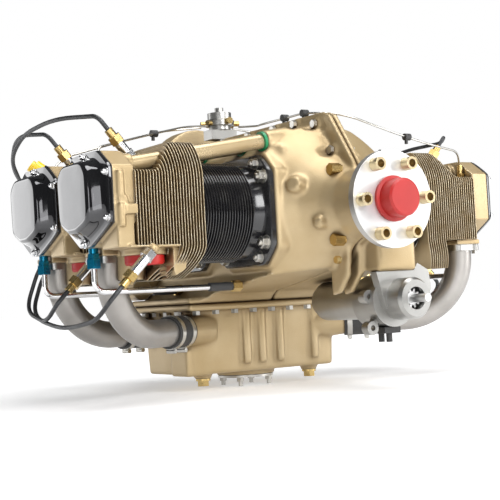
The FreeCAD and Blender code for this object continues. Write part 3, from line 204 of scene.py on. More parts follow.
def cast_finish(name, colour, deep, edge, grain=0.35, round_edge=0.0012, **constants):
    """Paint over a sand casting: cloudy colour, a fine grain, soft paler edges, and painted shade darkening its
    crevices.
    """
    material, shader, where = new_finish(name, **constants)
    cloud = where.noise(9.0, 4.0).clipped(0.35, 0.7)
    speck = where.noise(520.0, 2.0)
    soft = where.node("ShaderNodeBevel", {"samples": 4}, {"Radius": round_edge})
    flat = where.node("ShaderNodeNewGeometry", {}, {}, "Normal")
    turned = where.node("ShaderNodeVectorMath", {"operation": "DOT_PRODUCT"}, {0: soft, 1: flat}, "Value")
    worn = (1 - turned).clipped(0.01, 0.16) * where.noise(60.0, 3.0).clipped(0.3, 0.6)
    # Painted shade: an ambient occlusion mask darkens the paint to a deep brown in crevices, between fins and in
    # corners, where shade falls.
    painted_crevice_shade = 1 - where.node("ShaderNodeAmbientOcclusion", {"samples": 6}, {"Distance": 0.014},
                            "AO").clipped(0.35, 0.95)
    paint = painted_crevice_shade.mix(cloud.mix(colour, deep), (deep[0] * 0.25, deep[1] * 0.2, deep[2] * 0.16, 1))
    feed(shader, base_color=worn.mix(paint, edge),
         roughness=speck * 0.16 + shader.inputs["Roughness"].default_value,
         normal=where.node("ShaderNodeBump", {}, {"Height": speck, "Strength": grain, "Distance": 0.0006,
                                                  "Normal": soft}))
    return material


def give(material, *nodes):
    """A CAD node whose shape is right keeps it, and gets a finish."""
    for node in nodes:
        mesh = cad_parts[node].data
        mesh.materials.clear()
        mesh.materials.append(material)


champagne_cast = cast_finish("champagne_cast", CHAMPAGNE, CHAMPAGNE_DEEP, CHAMPAGNE_EDGE,
                             metallic=0.5, roughness=0.34, round_edge=0.003)
give(champagne_cast, "mount_brackets")


# Each cylinder barrel is turned from a steel forging, with thin fins and a square base flange whose corners
# are cut off. It is dipped in gloss black enamel, which pools in the roots of the fins and pulls thin on
# their rims.
MM = 0.001
PLACES = {1: (-1, 234), 2: (1, 293), 3: (-1, 428), 4: (1, 487)}  # cylinder: side, place along the shaft
DECK, BASE_THICK, BASE_HALF, BASE_CUT = 118, 9, 88, 30
BARREL_BORE, BARREL_WALL, BARREL_SKIRT, BARREL_TOP = 65.1, 71, 69.8, 284
RIM, RIM_THICK, RIM_FIRST, RIM_PITCH, RIM_COUNT = 79.5, 1.9, 151, 4.85, 19


def lathe(mesh, loop, steps=96):
    """Turn a closed loop of (outward, radius) about the cylinder's axis."""
    rings = [[mesh.verts.new((-u, r * math.cos(2 * math.pi * k / steps),
                              r * math.sin(2 * math.pi * k / steps)))
              for u, r in loop] for k in range(steps)]
    for ring, after in zip(rings, rings[1:] + rings[:1]):
        for k in range(len(loop)):
            mesh.faces.new((ring[k - 1], ring[k], after[k], after[k - 1]))


def piece(name, mesh, materials, slot, *nodes, body="engine", number=None, angle=32):
    """A finished piece in place of CAD nodes; a number puts it from the cylinder's own frame on that cylinder."""
    if isinstance(mesh, bmesh.types.BMesh):
        bmesh.ops.recalc_face_normals(mesh, faces=mesh.faces)
        data = bpy.data.meshes.new(name)
        mesh.to_mesh(data)
        data.transform(Matrix.Scale(MM, 4))
    else:
        data = mesh.copy()
    if number:
        side, along = PLACES[number]
        turn = Matrix.Rotation(0 if side < 0 else math.pi, 4, "Z")
        data.transform(Matrix.Translation((0, along * MM, 0)) @ turn)
    for material in materials:
        data.materials.append(material)
    data.polygons.foreach_set("use_smooth", [True] * len(data.polygons))
    data.set_sharp_from_angle(angle=math.radians(angle))
    made = bpy.data.objects.new(name, data)
    bpy.context.scene.collection.objects.link(made)
    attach(made, body)
    if nodes:
        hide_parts(*nodes)
    return made


def new_tree(name, *sockets):
    """A Geometry Nodes tree with its inputs, and a way to add and join its nodes."""
    tree = bpy.data.node_groups.new(name, "GeometryNodeTree")
    tree.interface.new_socket("Geometry", in_out="OUTPUT", socket_type="NodeSocketGeometry")
    for label, kind in (("Geometry", "Geometry"),) + sockets + (("Finish", "Material"),):
        tree.interface.new_socket(label, in_out="INPUT", socket_type="NodeSocket" + kind)
    start = tree.nodes.new("NodeGroupInput")
    return tree, {label: Feed(tree, start.outputs[label]) for label in start.outputs.keys() if label}


def end_tree(tree, geometry, finish):
    whole = geometry.node("GeometryNodeRealizeInstances", {}, {"Geometry": geometry})
    painted = whole.node("GeometryNodeSetMaterial", {}, {"Geometry": whole, "Material": finish})
    tree.links.new(painted.socket, tree.nodes.new("NodeGroupOutput").inputs[0])


def grown(name, mesh, tree, **inputs):
    """The plain mesh that the tree makes of a mesh."""
    carrier = bpy.data.objects.new(name, mesh)
    bpy.context.scene.collection.objects.link(carrier)
    modifier = carrier.modifiers.new(tree.name, "NODES")
    modifier.node_group = tree
    for item in tree.interface.items_tree:
        if item.in_out == "INPUT" and item.name in inputs:
            modifier[item.identifier] = inputs[item.name]
    result = bpy.data.meshes.new_from_object(carrier.evaluated_get(bpy.context.evaluated_depsgraph_get()))
    carrier.modifiers.remove(modifier)
    bpy.data.objects.remove(carrier)
    return result


def joined(first, *others):
    """One mesh of several."""
    whole = bmesh.new()
    for part in (first,) + others:
        whole.from_mesh(part)
    return whole


rim_row, inputs = new_tree("row_of_rims", ("Count", "Int"), ("Pitch", "Float"))
step = inputs["Pitch"].node("ShaderNodeCombineXYZ", {}, {"X": inputs["Pitch"] * -1})
spots = step.node("GeometryNodeMeshLine", {}, {"Count": inputs["Count"], "Offset": step})
end_tree(rim_row, spots.node("GeometryNodeInstanceOnPoints", {},
                             {"Points": spots, "Instance": inputs["Geometry"]}),
         inputs["Finish"])

black_enamel, shader, where = new_finish("black_enamel", roughness=0.2, coat_weight=0.5, coat_roughness=0.08)
smear = where.noise(26.0, 4.0).clipped(0.4, 0.7)
feed(shader, base_color=smear.mix((0.012, 0.012, 0.014, 1), (0.03, 0.029, 0.028, 1)),
     roughness=smear * 0.12 + 0.16,
     normal=where.node("ShaderNodeBump", {}, {"Height": where.noise(900.0), "Strength": 0.12,
                                              "Distance": 0.0003}))

rim = bmesh.new()
first, last, half = RIM_FIRST, RIM_FIRST + RIM_THICK, RIM_THICK / 2
lathe(rim, [(first, BARREL_WALL - 1), (first, RIM - 0.8), (first + half / 2, RIM), (last - half / 2, RIM),
            (last, RIM - 0.8), (last, BARREL_WALL - 1)])
rim_mesh = bpy.data.meshes.new("rim")
rim.to_mesh(rim_mesh)
rims = grown("rims", rim_mesh, rim_row, Count=RIM_COUNT, Pitch=RIM_PITCH, Finish=black_enamel)

wall = bmesh.new()
lathe(wall, [(92, BARREL_BORE), (92, BARREL_SKIRT), (DECK, BARREL_SKIRT), (DECK, 76), (DECK + 14, 76),
             (DECK + 18, 74.5), (148, 73.5), (150, BARREL_WALL), (240, 70.6), (240, 72), (BARREL_TOP, 72),
             (BARREL_TOP, BARREL_BORE)])
corner = BASE_HALF - BASE_CUT
flange_outline = [(-BASE_HALF, -corner), (-BASE_HALF, corner), (-corner, BASE_HALF), (corner, BASE_HALF),
                  (BASE_HALF, corner), (BASE_HALF, -corner), (corner, -BASE_HALF), (-corner, -BASE_HALF)]


def softened(outline, passes=3, share=0.18):
    """A closed outline whose corners are cut again and again until they are round."""
    for _ in range(passes):
        cut = []
        for (a, b), (c, d) in zip(outline, outline[1:] + outline[:1]):
            cut += [(a + (c - a) * share, b + (d - b) * share), (c - (c - a) * share, d - (d - b) * share)]
        outline = cut
        share = 0.25
    return outline


def skinned(mesh, loops, closed_ends=True):
    """Quads between loops of (outward, y, z), all with as many points."""
    rows = [[mesh.verts.new((-u, y, z)) for u, y, z in loop] for loop in loops]
    for row, after in zip(rows, rows[1:]):
        for k in range(len(row)):
            mesh.faces.new((row[k - 1], row[k], after[k], after[k - 1]))
    if closed_ends:
        mesh.faces.new(rows[0])
        mesh.faces.new(rows[-1])
    return rows


rounded = softened(flange_outline, 2, 0.06)
bore_ring = [(BARREL_SKIRT * y / math.hypot(y, z), BARREL_SKIRT * z / math.hypot(y, z)) for y, z in rounded]
rows = skinned(wall, [[(DECK, y, z) for y, z in bore_ring], [(DECK, y, z) for y, z in rounded],
                      [(DECK + BASE_THICK - 1.4, y, z) for y, z in rounded],
                      [(DECK + BASE_THICK, y * 0.983, z * 0.983) for y, z in rounded],
                      [(DECK + BASE_THICK, y, z) for y, z in bore_ring]], False)
for k in range(len(rounded)):
    wall.faces.new((rows[-1][k - 1], rows[-1][k], rows[0][k], rows[0][k - 1]))
wall_mesh = bpy.data.meshes.new("wall")
wall.to_mesh(wall_mesh)
for number in PLACES:
    piece(f"barrel_{number}", joined(wall_mesh, rims), [black_enamel], "black_paint",
          f"cylinder_barrel_{number}",
          number=number)


# A cylinder head is one aluminium casting: thin deep fins that bend outward under the ports, a rocker box
# with a ribbed wall, bosses for plugs, tubes and nozzle, and two ports, all sprayed champagne like the
# crankcase.
FIN_COUNT, FIN_FIRST, FIN_PITCH, FIN_THICK = 24, 243.5, 4.95, 1.6
FIN_SIDE, FIN_SHORT, FIN_LOW, FIN_HIGH = 84, -53, -103, 106
BOX_FROM, BOX_TO = 358, 393
BOX_OUTLINE = [(-80, -18), (-80, 66), (-42, 92), (42, 92), (80, 66), (80, -18), (30, -50), (-6, -50)]
EXHAUST, INTAKE = (327, -40), (345, 45)
TUBE_LINES = (-45, 20)
CHAMBER = ((-230, 0, 0), (-299, 0, 0), 72.3)


def eased(value, low, high):
    share = min(1, max(0, (value - low) / (high - low)))
    return share * share * (3 - 2 * share)


def tube_at(u, line):
    return Vector((-u, line, 111.4 - 0.163 * (u - 106)))


def fin(mesh, u):
    """A sheet across the head: high by the tubes near the barrel, flat outboard, bent outward underneath."""
    near = eased(-u, -325, -283)
    deep = u < 288
    crown, shoulder = 60 + (FIN_HIGH - 60) * near, 54 - 9 * near
    inward = 6 + 28 * near
    rows = [(FIN_SHORT, 0), (0, 0), (shoulder, 0)]
    rows += [(shoulder + (crown - shoulder) * rise, inward * back)
             for rise, back in ((0.2, 0.03), (0.4, 0.12), (0.62, 0.3), (0.82, 0.55), (0.95, 0.78), (1, 1))]
    if deep:
        drop = FIN_SHORT - FIN_LOW
        rows = [(FIN_LOW + drop * (1 - k / 9), 30 * (k / 9) ** 2.2) for k in range(9, 0, -1)] + rows
    half = FIN_THICK / 2
    loops = []
    for z, back in rows:
        bend = 27 * max(0, (FIN_SHORT - z) / (FIN_SHORT - FIN_LOW)) ** 1.6
        reach = FIN_SIDE - back
        loops.append([(u + bend + a, side * (reach - b), z) for side, turn in ((-1, 1), (1, -1))
                      for a, b in ((-half * turn, 0.8), (-half * 0.5 * turn, 0), (half * 0.5 * turn, 0),
                                   (half * turn, 0.8))])
    skinned(mesh, loops)


def box(mesh, low, high):
    made = bmesh.ops.create_cube(mesh)["verts"]
    for vert in made:
        vert.co = Vector([lo if c < 0 else hi for c, lo, hi in zip(vert.co, low, high)])


def bar(mesh, start, end, radius, radius_end=None, steps=48):
    """A round bar or cone between two points."""
    start, end = Vector(start), Vector(end)
    way = (end - start).normalized()
    turn = Matrix.Translation((start + end) / 2) @ way.to_track_quat("Z", "Y").to_matrix().to_4x4()
    bmesh.ops.create_cone(mesh, cap_ends=True, segments=steps, radius1=radius,
                          radius2=radius if radius_end is None else radius_end,
                          depth=(end - start).length, matrix=turn)


def prism(mesh, outline, low, high, across):
    """An outline pushed along one axis: x takes (y, z) points, y takes (x, z) points, z takes (x, y) points."""
    put = {"x": lambda at, a, b: (at, a, b), "y": lambda at, a, b: (a, at, b), "z": lambda at, a,
           b: (a, b, at)}[across]
    ends = [[mesh.verts.new(put(at, a, b)) for a, b in outline] for at in (low, high)]
    for k in range(len(outline)):
        mesh.faces.new((ends[0][k - 1], ends[0][k], ends[1][k], ends[1][k - 1]))
    mesh.faces.new(ends[0])
    mesh.faces.new(ends[1])


def evaluated(mesh, *modifiers):
    """A mesh in millimetres after some modifiers, given as (kind, settings)."""
    bmesh.ops.recalc_face_normals(mesh, faces=mesh.faces)
    data = bpy.data.meshes.new("shape")
    mesh.to_mesh(data)
    carrier = bpy.data.objects.new("shape", data)
    bpy.context.scene.collection.objects.link(carrier)
    helpers = []
    for kind, settings in modifiers:
        modifier = carrier.modifiers.new(kind, kind)
        for setting, value in settings.items():
            if isinstance(value, bmesh.types.BMesh):
                bmesh.ops.recalc_face_normals(value, faces=value.faces)
                tool = bpy.data.meshes.new("tool")
                value.to_mesh(tool)
                value = bpy.data.objects.new("tool", tool)
                bpy.context.scene.collection.objects.link(value)
                helpers.append(value)
            setattr(modifier, setting, value)
    result = bpy.data.meshes.new_from_object(carrier.evaluated_get(bpy.context.evaluated_depsgraph_get()))
    for thing in [carrier] + helpers:
        bpy.data.objects.remove(thing)
    return result


def bored(*bores):
    """One boolean step for each bore, so that bores which meet leave no skin between them."""
    steps = []
    for bore in bores:
        tool = bmesh.new()
        bar(tool, *bore, steps=72)
        steps.append(("BOOLEAN", {"operation": "DIFFERENCE", "solver": "MANIFOLD", "object": tool}))
    return steps


def under_port(high, low, radius):
    return (-EXHAUST[0], EXHAUST[1], high), (-EXHAUST[0], EXHAUST[1], low), radius


fins = bmesh.new()
for k in range(FIN_COUNT):
    fin(fins, FIN_FIRST + FIN_PITCH * k)
NOZZLE_WELL = ((-352, 56, 45.5), (-352, 56, 120), 8.6)
tube_bores = [(tube_at(235, line), tube_at(358, line), 12.4) for line in TUBE_LINES]
fin_mesh = evaluated(fins, *bored(CHAMBER, under_port(-50, -120, 32.3), NOZZLE_WELL, *tube_bores))

cast = bmesh.new()
box(cast, (-362, -64, -50), (-301, 64, 56))
lathe(cast, [(241, 73), (241, 77), (306, 77), (306, 73)], 64)
prism(cast, BOX_OUTLINE, -BOX_TO, -BOX_FROM, "x")
box(cast, (-389, -81, -55), (-361, -24, -10))
box(cast, (-372, -85, -56), (-287, -22, -52))
bar(cast, (-382, -80, 58), (-382, -80, 21), 6.5)
bar(cast, (-382, -80, 8), (-382, -80, -24), 6.5)
bar(cast, (-379, -84.5, 15), (-379, -76, 15), 8)
box(cast, (-376, -86, -6), (-356, -78, 9))
prism(cast, [(-270, -52), (-268, -66), (-276, -90), (-293, -99), (-296, -92), (-296, -52)], -75, -6, "y")
bar(cast, (-322, 15, -101), (-322, 15, -40), 22)
bar(cast, (-EXHAUST[0], EXHAUST[1], -66), (-EXHAUST[0], EXHAUST[1], -20), 35)
bar(cast, (-INTAKE[0], INTAKE[1], -62), (-INTAKE[0], INTAKE[1], -20), 30)
box(cast, (-372, 11, -62), (-318, 75, -53))
bar(cast, (-337, -81, -62), (-330, -80, -54), 9)
bar(cast, (-330, -18, 84), (-312.6, -19.4, 62), 15)
for line in TUBE_LINES:
    bar(cast, tube_at(346, line), tube_at(374, line), 16.5)
    box(cast, (-368, line - 13, 40), (-348, line + 13, 66))
    box(cast, (-290, line - 13, 40), (-246, line + 13, 84))
cast_mesh = evaluated(cast, ("REMESH", {"mode": "VOXEL", "voxel_size": 1.7}),
                      ("SMOOTH", {"factor": 0.5, "iterations": 6}),
                      *bored(CHAMBER, under_port(-47, -90, 27.3), under_port(-66, -110, 32.3), NOZZLE_WELL))
champagne_head = cast_finish("champagne_head", CHAMPAGNE, CHAMPAGNE_DEEP, (0.95, 0.88, 0.70, 1), grain=0.25,
                             round_edge=0.0009, metallic=0.5, roughness=0.32)
for number in PLACES:
    piece(f"head_{number}", joined(fin_mesh, cast_mesh), [champagne_head], "gold_paint",
          f"cylinder_head_{number}",
          number=number)


# The crankcase halves, the sump and the accessory housing come from sand moulds too, so every corner between
# two walls has a fillet and every edge is blunt. Their bearing bores are line bored after the halves are
# joined.
def sand_cast(name, voxel, rounds, nodes, bores=(), web=None):
    whole = joined(*[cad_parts[node].data for node in nodes])
    bmesh.ops.scale(whole, vec=(1 / MM, 1 / MM, 1 / MM), verts=whole.verts)
    if web:
        prism(whole, *web)
    steps = [("REMESH", {"mode": "VOXEL", "voxel_size": voxel}),
             ("SMOOTH", {"factor": 0.5, "iterations": rounds})]
    steps += bored(*bores)
    piece(name, joined(evaluated(whole, *steps)), [champagne_cast], "gold_paint", *nodes, angle=50)


CASE_BORES = [((0, 20, 0), (0, 600, 0), 31), ((0, 20, 0), (0, 40.2, 0), 44.4),
              ((0, 150, 106), (0, 600, 106), 15),
              ((0, 172, 106), (0, 340, 106), 22), ((0, 381, 106), (0, 560, 106), 22)]
for side in ("left", "right"):
    sand_cast(f"case_{side}", 3.0, 10, [f"crankcase_{side}"], CASE_BORES)
sand_cast("sump", 2.6, 8, ["oil_sump"])
arch = [(84 * math.cos(math.pi * k / 36), 106 + 84 * math.sin(math.pi * k / 36)) for k in range(37)]
HOUSING_BORES = [((0, 590, 0), (0, 618.5, 0), 44), ((0, 586.5, 106), (0, 618.5, 106), 78),
                 ((0, 560, 106), (0, 600, 106), 15)]
sand_cast("housing", 2.6, 8, ["accessory_housing"], HOUSING_BORES, (arch, 578, 592, "y"))


# A rocker cover is a thin deep-drawn aluminium lid, plated in gloss black chrome, with a flat lip that
# clamps a cork gasket. Its dome has drawn walls, round shoulders and a slightly crowned face.
COVER_SEAT, COVER_LIP, COVER_FACE = 394.5, 5, 424
FACE_OUTLINE = [(-52, -14), (-50, 60), (-36, 76), (36, 76), (50, 60), (46, -14), (18, -26), (-14, -26)]


def drawn_in(outline, inset):
    """The outline pulled in towards its middle."""
    mid_y = sum(y for y, z in outline) / len(outline)
    mid_z = sum(z for y, z in outline) / len(outline)
    pulled = []
    for y, z in outline:
        reach = math.hypot(y - mid_y, z - mid_z)
        share = (reach - inset) / reach
        pulled.append((mid_y + (y - mid_y) * share, mid_z + (z - mid_z) * share))
    return pulled


lip = softened(BOX_OUTLINE, 3, 0.06)
root = softened(drawn_in(BOX_OUTLINE, 12.5), 3, 0.14)
crown = softened(FACE_OUTLINE, 3, 0.14)
lid = bmesh.new()
lip_top = COVER_SEAT + COVER_LIP
loops = [[(COVER_SEAT, *point) for point in lip], [(lip_top - 1.2, *point) for point in lip],
         [(lip_top - 0.3, *point) for point in drawn_in(lip, 0.5)],
         [(lip_top, *point) for point in drawn_in(lip, 1.4)]]
WALL_TOP = 0.74
for share in (0, 0.03, 0.1, 0.3, 0.55, WALL_TOP):
    swell = 2.2 * (1 - min(1, share / 0.1)) ** 2
    ring = [(a + (c - a) * share, b + (d - b) * share) for (a, b), (c, d) in zip(root, crown)]
    loops.append([(lip_top + 0.2 + (COVER_FACE - lip_top) * share, *point) for point in drawn_in(ring,
                                                                                                 -swell)])
edge = [(a + (c - a) * WALL_TOP, b + (d - b) * WALL_TOP) for (a, b), (c, d) in zip(root, crown)]
shoulder_height = (COVER_FACE - lip_top) * (1 - WALL_TOP)
for degrees in (15, 30, 45, 60, 75, 90):
    turn = math.radians(degrees)
    loops.append([(COVER_FACE - shoulder_height * (1 - math.sin(turn)), *point)
                  for point in drawn_in(edge, (1 - math.cos(turn)) * 8)])
loops.append([(COVER_FACE + 0.25, *point) for point in drawn_in(edge, 24)])
skinned(lid, loops)
black_chrome, shader, where = new_finish("black_chrome", metallic=0.9, roughness=0.06, coat_weight=1.0,
                                         coat_roughness=0.03)
haze = where.noise(14.0, 3.0).clipped(0.45, 0.75)
feed(shader, base_color=haze.mix((0.03, 0.03, 0.033, 1), (0.05, 0.05, 0.052, 1)),
     roughness=haze * 0.08 + 0.05,
     normal=where.node("ShaderNodeBump", {}, {"Height": where.noise(38.0, 2.0), "Strength": 0.05,
                                              "Distance": 0.002}))
for number in PLACES:
    piece(f"cover_{number}", lid, [black_chrome], "black_chrome", f"rocker_cover_{number}", number=number,
          angle=40)


# The push rod tubes are drawn steel, sprayed with the heads' champagne. Each one slides into a green rubber
# seal at the crankcase, moulded with a soft sheen.
def smooth_finish(name, colour, shade, cloud_scale=12.0, grain_scale=420.0, bump=0.15, round_edge=0.0006,
                  **constants):
    """Metal, paint or rubber with a clouded colour, an uneven sheen and a fine grain, and slightly soft edges."""
    material, shader, where = new_finish(name, **constants)
    cloud = where.noise(cloud_scale, 4.0).clipped(0.35, 0.7)
    grain = where.noise(grain_scale, 2.0)
    soft = where.node("ShaderNodeBevel", {"samples": 4}, {"Radius": round_edge})
    feed(shader, base_color=cloud.mix(colour, shade),
         roughness=cloud * 0.1 + grain * 0.08 + (shader.inputs["Roughness"].default_value - 0.08),
         normal=where.node("ShaderNodeBump", {}, {"Height": grain, "Strength": bump, "Distance": 0.0003,
                                                  "Normal": soft}))
    return material


give(smooth_finish("champagne_tube", CHAMPAGNE, CHAMPAGNE_DEEP, bump=0.08, metallic=0.4, roughness=0.3),
     "pushrod_tubes")
give(smooth_finish("green_seal", (0.012, 0.22, 0.085, 1), (0.01, 0.14, 0.06, 1), roughness=0.42),
     "tube_seals")


# The covers' gaskets are black composite cork. Domed chrome nuts hold each cover down on flat washers, and
# big plated nuts on studs hold the barrels' flanges.
give(smooth_finish("cork_gasket", (0.02, 0.018, 0.016, 1), (0.05, 0.045, 0.04, 1), grain_scale=900.0,
                   bump=0.6,
                   roughness=0.8), "cover_gaskets")
COVER_SCREWS = [(-74.2, 57), (-74.2, -10), (0, 86.5), (74.2, 57), (74.2, -10), (10, -44.2)]
NUT_SEATS = [(side_y * a, side_z * b) for a, b in ((72, 52), (52, 74)) for side_y in (-1,
                                                                                      1) for side_z in (-1,
                                                                                                        1)]
fixings, inputs = new_tree("fixings_on_points", ("Fixing", "Object"))
fixing = inputs["Fixing"].node("GeometryNodeObjectInfo", {}, {"Object": inputs["Fixing"]}, "Geometry")
way = fixing.node("GeometryNodeInputNamedAttribute", {"data_type": "FLOAT_VECTOR"}, {"Name": "way"})
turned = way.node("FunctionNodeAlignRotationToVector", {"axis": "Z"}, {"Vector": way})
share = way.node("GeometryNodeInputNamedAttribute", {"data_type": "FLOAT"}, {"Name": "share"})
end_tree(fixings, share.node("GeometryNodeInstanceOnPoints", {}, {
    "Points": inputs["Geometry"], "Instance": fixing, "Rotation": turned, "Scale": share}), inputs["Finish"])


def fixing_mesh(across, height, washer, dome=0.0, stud=0.0):
    """A hexagon nut on its washer, with a domed end or the stud standing out of it."""
    mesh = bmesh.new()
    bar(mesh, (0, 0, 0), (0, 0, 1.2), washer, steps=36)
    corner = across / math.sqrt(3)
    hexagon = [(math.cos(math.pi * k / 3), math.sin(math.pi * k / 3)) for k in range(6)]
    rows = [[mesh.verts.new((a * reach, b * reach, z)) for a, b in hexagon]
            for reach, z in ((corner * 0.94, 1.2), (corner, 2.0), (corner, height - 0.8),
                             (corner * 0.9, height))]
    for row, after in zip(rows, rows[1:]):
        for k in range(6):
            mesh.faces.new((row[k - 1], row[k], after[k], after[k - 1]))
    mesh.faces.new(rows[0])
    mesh.faces.new(rows[-1])
    if dome:
        bmesh.ops.create_uvsphere(mesh, u_segments=24, v_segments=12, radius=dome,
                                  matrix=Matrix.Translation((0, 0, height - 0.2)))
    if stud:
        bar(mesh, (0, 0, 0), (0, 0, stud - 0.8), across * 0.29, steps=24)
        bar(mesh, (0, 0, stud - 0.8), (0, 0, stud), across * 0.29, across * 0.22, steps=24)
    bmesh.ops.recalc_face_normals(mesh, faces=mesh.faces)
    return mesh


def fixed(name, spots, mesh, finish, slot, *nodes):
    """Fixings in millimetres at (place, way, share), as one piece in place of a CAD node."""
    data = bpy.data.meshes.new("fixing")
    mesh.to_mesh(data)
    model = bpy.data.objects.new("fixing", data)
    bpy.context.scene.collection.objects.link(model)
    points = bpy.data.meshes.new("spots")
    points.from_pydata([place for place, way, share in spots], [], [])
    points.attributes.new("way", "FLOAT_VECTOR", "POINT").data.foreach_set(
        "vector", [c for place, way, share in spots for c in way])
    points.attributes.new("share", "FLOAT", "POINT").data.foreach_set("value",
                                                                      [s for place, way, s in spots])
    whole = joined(grown("fixings", points, fixings, Fixing=model, Finish=finish))
    bpy.data.objects.remove(model)
    return piece(name, whole, [finish], slot, *nodes)


def in_place(number, point, way):
    """A point and a way of the cylinder's own frame, in the engine's frame."""
    side, along = PLACES[number]
    turn = -side
    return (point[0] * turn, along + point[1] * turn, point[2]), (way[0] * turn, way[1] * turn, way[2])


chrome = smooth_finish("bright_chrome", (0.75, 0.75, 0.75, 1), (0.62, 0.62, 0.63, 1), bump=0.03,
                       metallic=1.0,
                       roughness=0.16)
plated = smooth_finish("plated_steel", (0.62, 0.60, 0.55, 1), (0.45, 0.44, 0.42, 1), metallic=1.0,
                       roughness=0.3)
fixed("cover_nuts", [(*in_place(n, (-COVER_SEAT - COVER_LIP, y, z), (-1, 0, 0)), 1.0)
                     for n in PLACES for y, z in COVER_SCREWS],
      fixing_mesh(8.6, 5.0, 6.2, dome=3.9), chrome, "plated_steel", "cover_screws")
fixed("base_nuts_on_studs", [(*in_place(n, (-DECK - BASE_THICK, y, z), (-1, 0, 0)),
                              1.0 if abs(y) > abs(z) else 0.82)
                             for n in PLACES for y, z in NUT_SEATS],
      fixing_mesh(17, 12, 11.5, stud=16), plated, "plated_steel", "base_nuts")


# The split line's bolts are plated, the sump's are too, and the plugs of the oil ways and of the sump's
# drains are brass, hexagonal, on copper washers.
def parted(node, body, *parts):
    """Pieces cut out of a CAD node, face by face: (name, finish, slot, test on a face's middle in millimetres)."""
    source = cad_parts[node].data
    made = []
    for name, finish, slot, test in parts:
        whole = joined(source)
        gone = [face for face in whole.faces if not test(face.calc_center_median() / MM)]
        bmesh.ops.delete(whole, geom=gone, context="FACES")
        bmesh.ops.scale(whole, vec=(1 / MM, 1 / MM, 1 / MM), verts=whole.verts)
        made.append(piece(name, whole, [finish], slot, node, body=body))
    return made


brass = smooth_finish("brass", (0.62, 0.46, 0.20, 1), (0.45, 0.31, 0.11, 1), bump=0.1, metallic=1.0,
                      roughness=0.25)
SUMP_FLOOR = -265
parted("sump_fasteners", "engine",
       ("drain_plugs", brass, "brass", lambda at: at.z < SUMP_FLOOR - 2),
       ("sump_bolts", plated, "plated_steel", lambda at: at.z >= SUMP_FLOOR - 2))
parted("case_bolts", "engine",
       ("split_line_bolts", plated, "plated_steel", lambda at: at.z > 85),
       ("nose_plugs", brass, "brass", lambda at: at.z <= 85))


# The crankshaft is forged steel, ground on its journals and turned to a satin white on the propeller flange,
# where six bushings of bronze take the bolts. A red moulded cap closes its bore for shipping.
def turned_finish(name, colour, shade, roughness):
    """Steel with the fine rings that a lathe leaves about the shaft's axis."""
    material, shader, where = new_finish(name, metallic=1.0, roughness=roughness)
    apart = where.node("ShaderNodeSeparateXYZ", {}, {0: where}, "X")
    height = where.node("ShaderNodeSeparateXYZ", {}, {0: where}, "Z")
    squared = apart * apart + height * height
    radius = squared.math("SQRT", squared, 0.0)
    rings = radius.node("ShaderNodeTexNoise", {"noise_dimensions": "1D"},
                        {"W": radius, "Scale": 900.0, "Detail": 3.0})
    cloud = where.noise(16.0, 4.0).clipped(0.35, 0.7)
    soft = where.node("ShaderNodeBevel", {"samples": 4}, {"Radius": 0.0008})
    feed(shader, base_color=cloud.mix(colour, shade), roughness=rings * 0.18 + (roughness - 0.08),
         normal=where.node("ShaderNodeBump", {}, {"Height": rings, "Strength": 0.12, "Distance": 0.0002,
                                                  "Normal": soft}))
    return material


flange_steel = turned_finish("turned_steel", (0.68, 0.68, 0.67, 1), (0.58, 0.58, 0.58, 1), 0.42)
give(flange_steel, "crankshaft", "camshaft", "starter_pinion")
bronze = smooth_finish("bronze", (0.72, 0.60, 0.38, 1), (0.55, 0.43, 0.24, 1), bump=0.1, metallic=1.0,
                       roughness=0.3)
give(bronze, "flange_bushings")
red_plastic = smooth_finish("red_plastic", (0.42, 0.012, 0.010, 1), (0.33, 0.008, 0.006, 1),
                            grain_scale=240.0,
                            bump=0.2, roughness=0.42, subsurface_weight=0.05)
give(red_plastic, "crank_cap", "exhaust_plug_1", "exhaust_plug_2", "exhaust_plug_3", "exhaust_plug_4")
black_rubber = smooth_finish("black_rubber", (0.018, 0.018, 0.018, 1), (0.035, 0.034, 0.033, 1),
                             grain_scale=300.0,
                             bump=0.35, roughness=0.55)
give(black_rubber, "front_oil_seal")


# Each spark plug has a steel barrel with a brass union nut. Its lead is a braided screen over rubber, dulled
# to a dark grey, and runs to a magneto.
PLUG_SEATS = (((-330, -18, 84), (-0.62, 0.05, 0.78), 30), ((-338, -82, -63), (-0.715, -0.02, -0.70), 44))


def beyond_plug(at):
    """Whether a face lies beyond the plug's own barrel, in its union nut."""
    for number in PLACES:
        for seat, way, reach in PLUG_SEATS:
            place, aim = in_place(number, seat, way)
            gap = at - Vector(place)
            along = gap.dot(Vector(aim).normalized())
            if 0 < along < 90 and (gap - Vector(aim).normalized() * along).length < 16:
                return along > reach + 0.01
    return False


parted("spark_plugs", "engine",
       ("plug_barrels", chrome, "plated_steel", lambda at: not beyond_plug(at)),
       ("plug_nuts", brass, "brass", beyond_plug))
braid, shader, where = new_finish("braided_screen", metallic=0.55, roughness=0.4)
weave = where.node("ShaderNodeTexVoronoi", {"feature": "F1"}, {"Vector": where, "Scale": 620.0})
worn = where.noise(30.0, 3.0).clipped(0.35, 0.7)
feed(shader, base_color=(weave * worn).mix((0.025, 0.026, 0.028, 1), (0.09, 0.092, 0.095, 1)),
     roughness=weave * 0.2 + 0.32,
     normal=where.node("ShaderNodeBump", {}, {"Height": weave, "Strength": 0.55, "Distance": 0.0006}))
give(braid, "ignition_leads")


# Fuel goes from a turned aluminium divider on the case's ridge through bright steel lines to a brass nozzle
# in each head. Rubber cushioned clips hold the lines.
DIVIDER = Vector((0, 495, 182))
satin_aluminium = smooth_finish("satin_aluminium", (0.42, 0.415, 0.40, 1), (0.32, 0.315, 0.30, 1), bump=0.25,
                                metallic=1.0, roughness=0.33)


def off_divider(at):
    """Whether a face belongs to the divider's brass ports and inlet."""
    return math.hypot(at.x, at.y - DIVIDER.y) > 27.2 and at.z > DIVIDER.z - 5


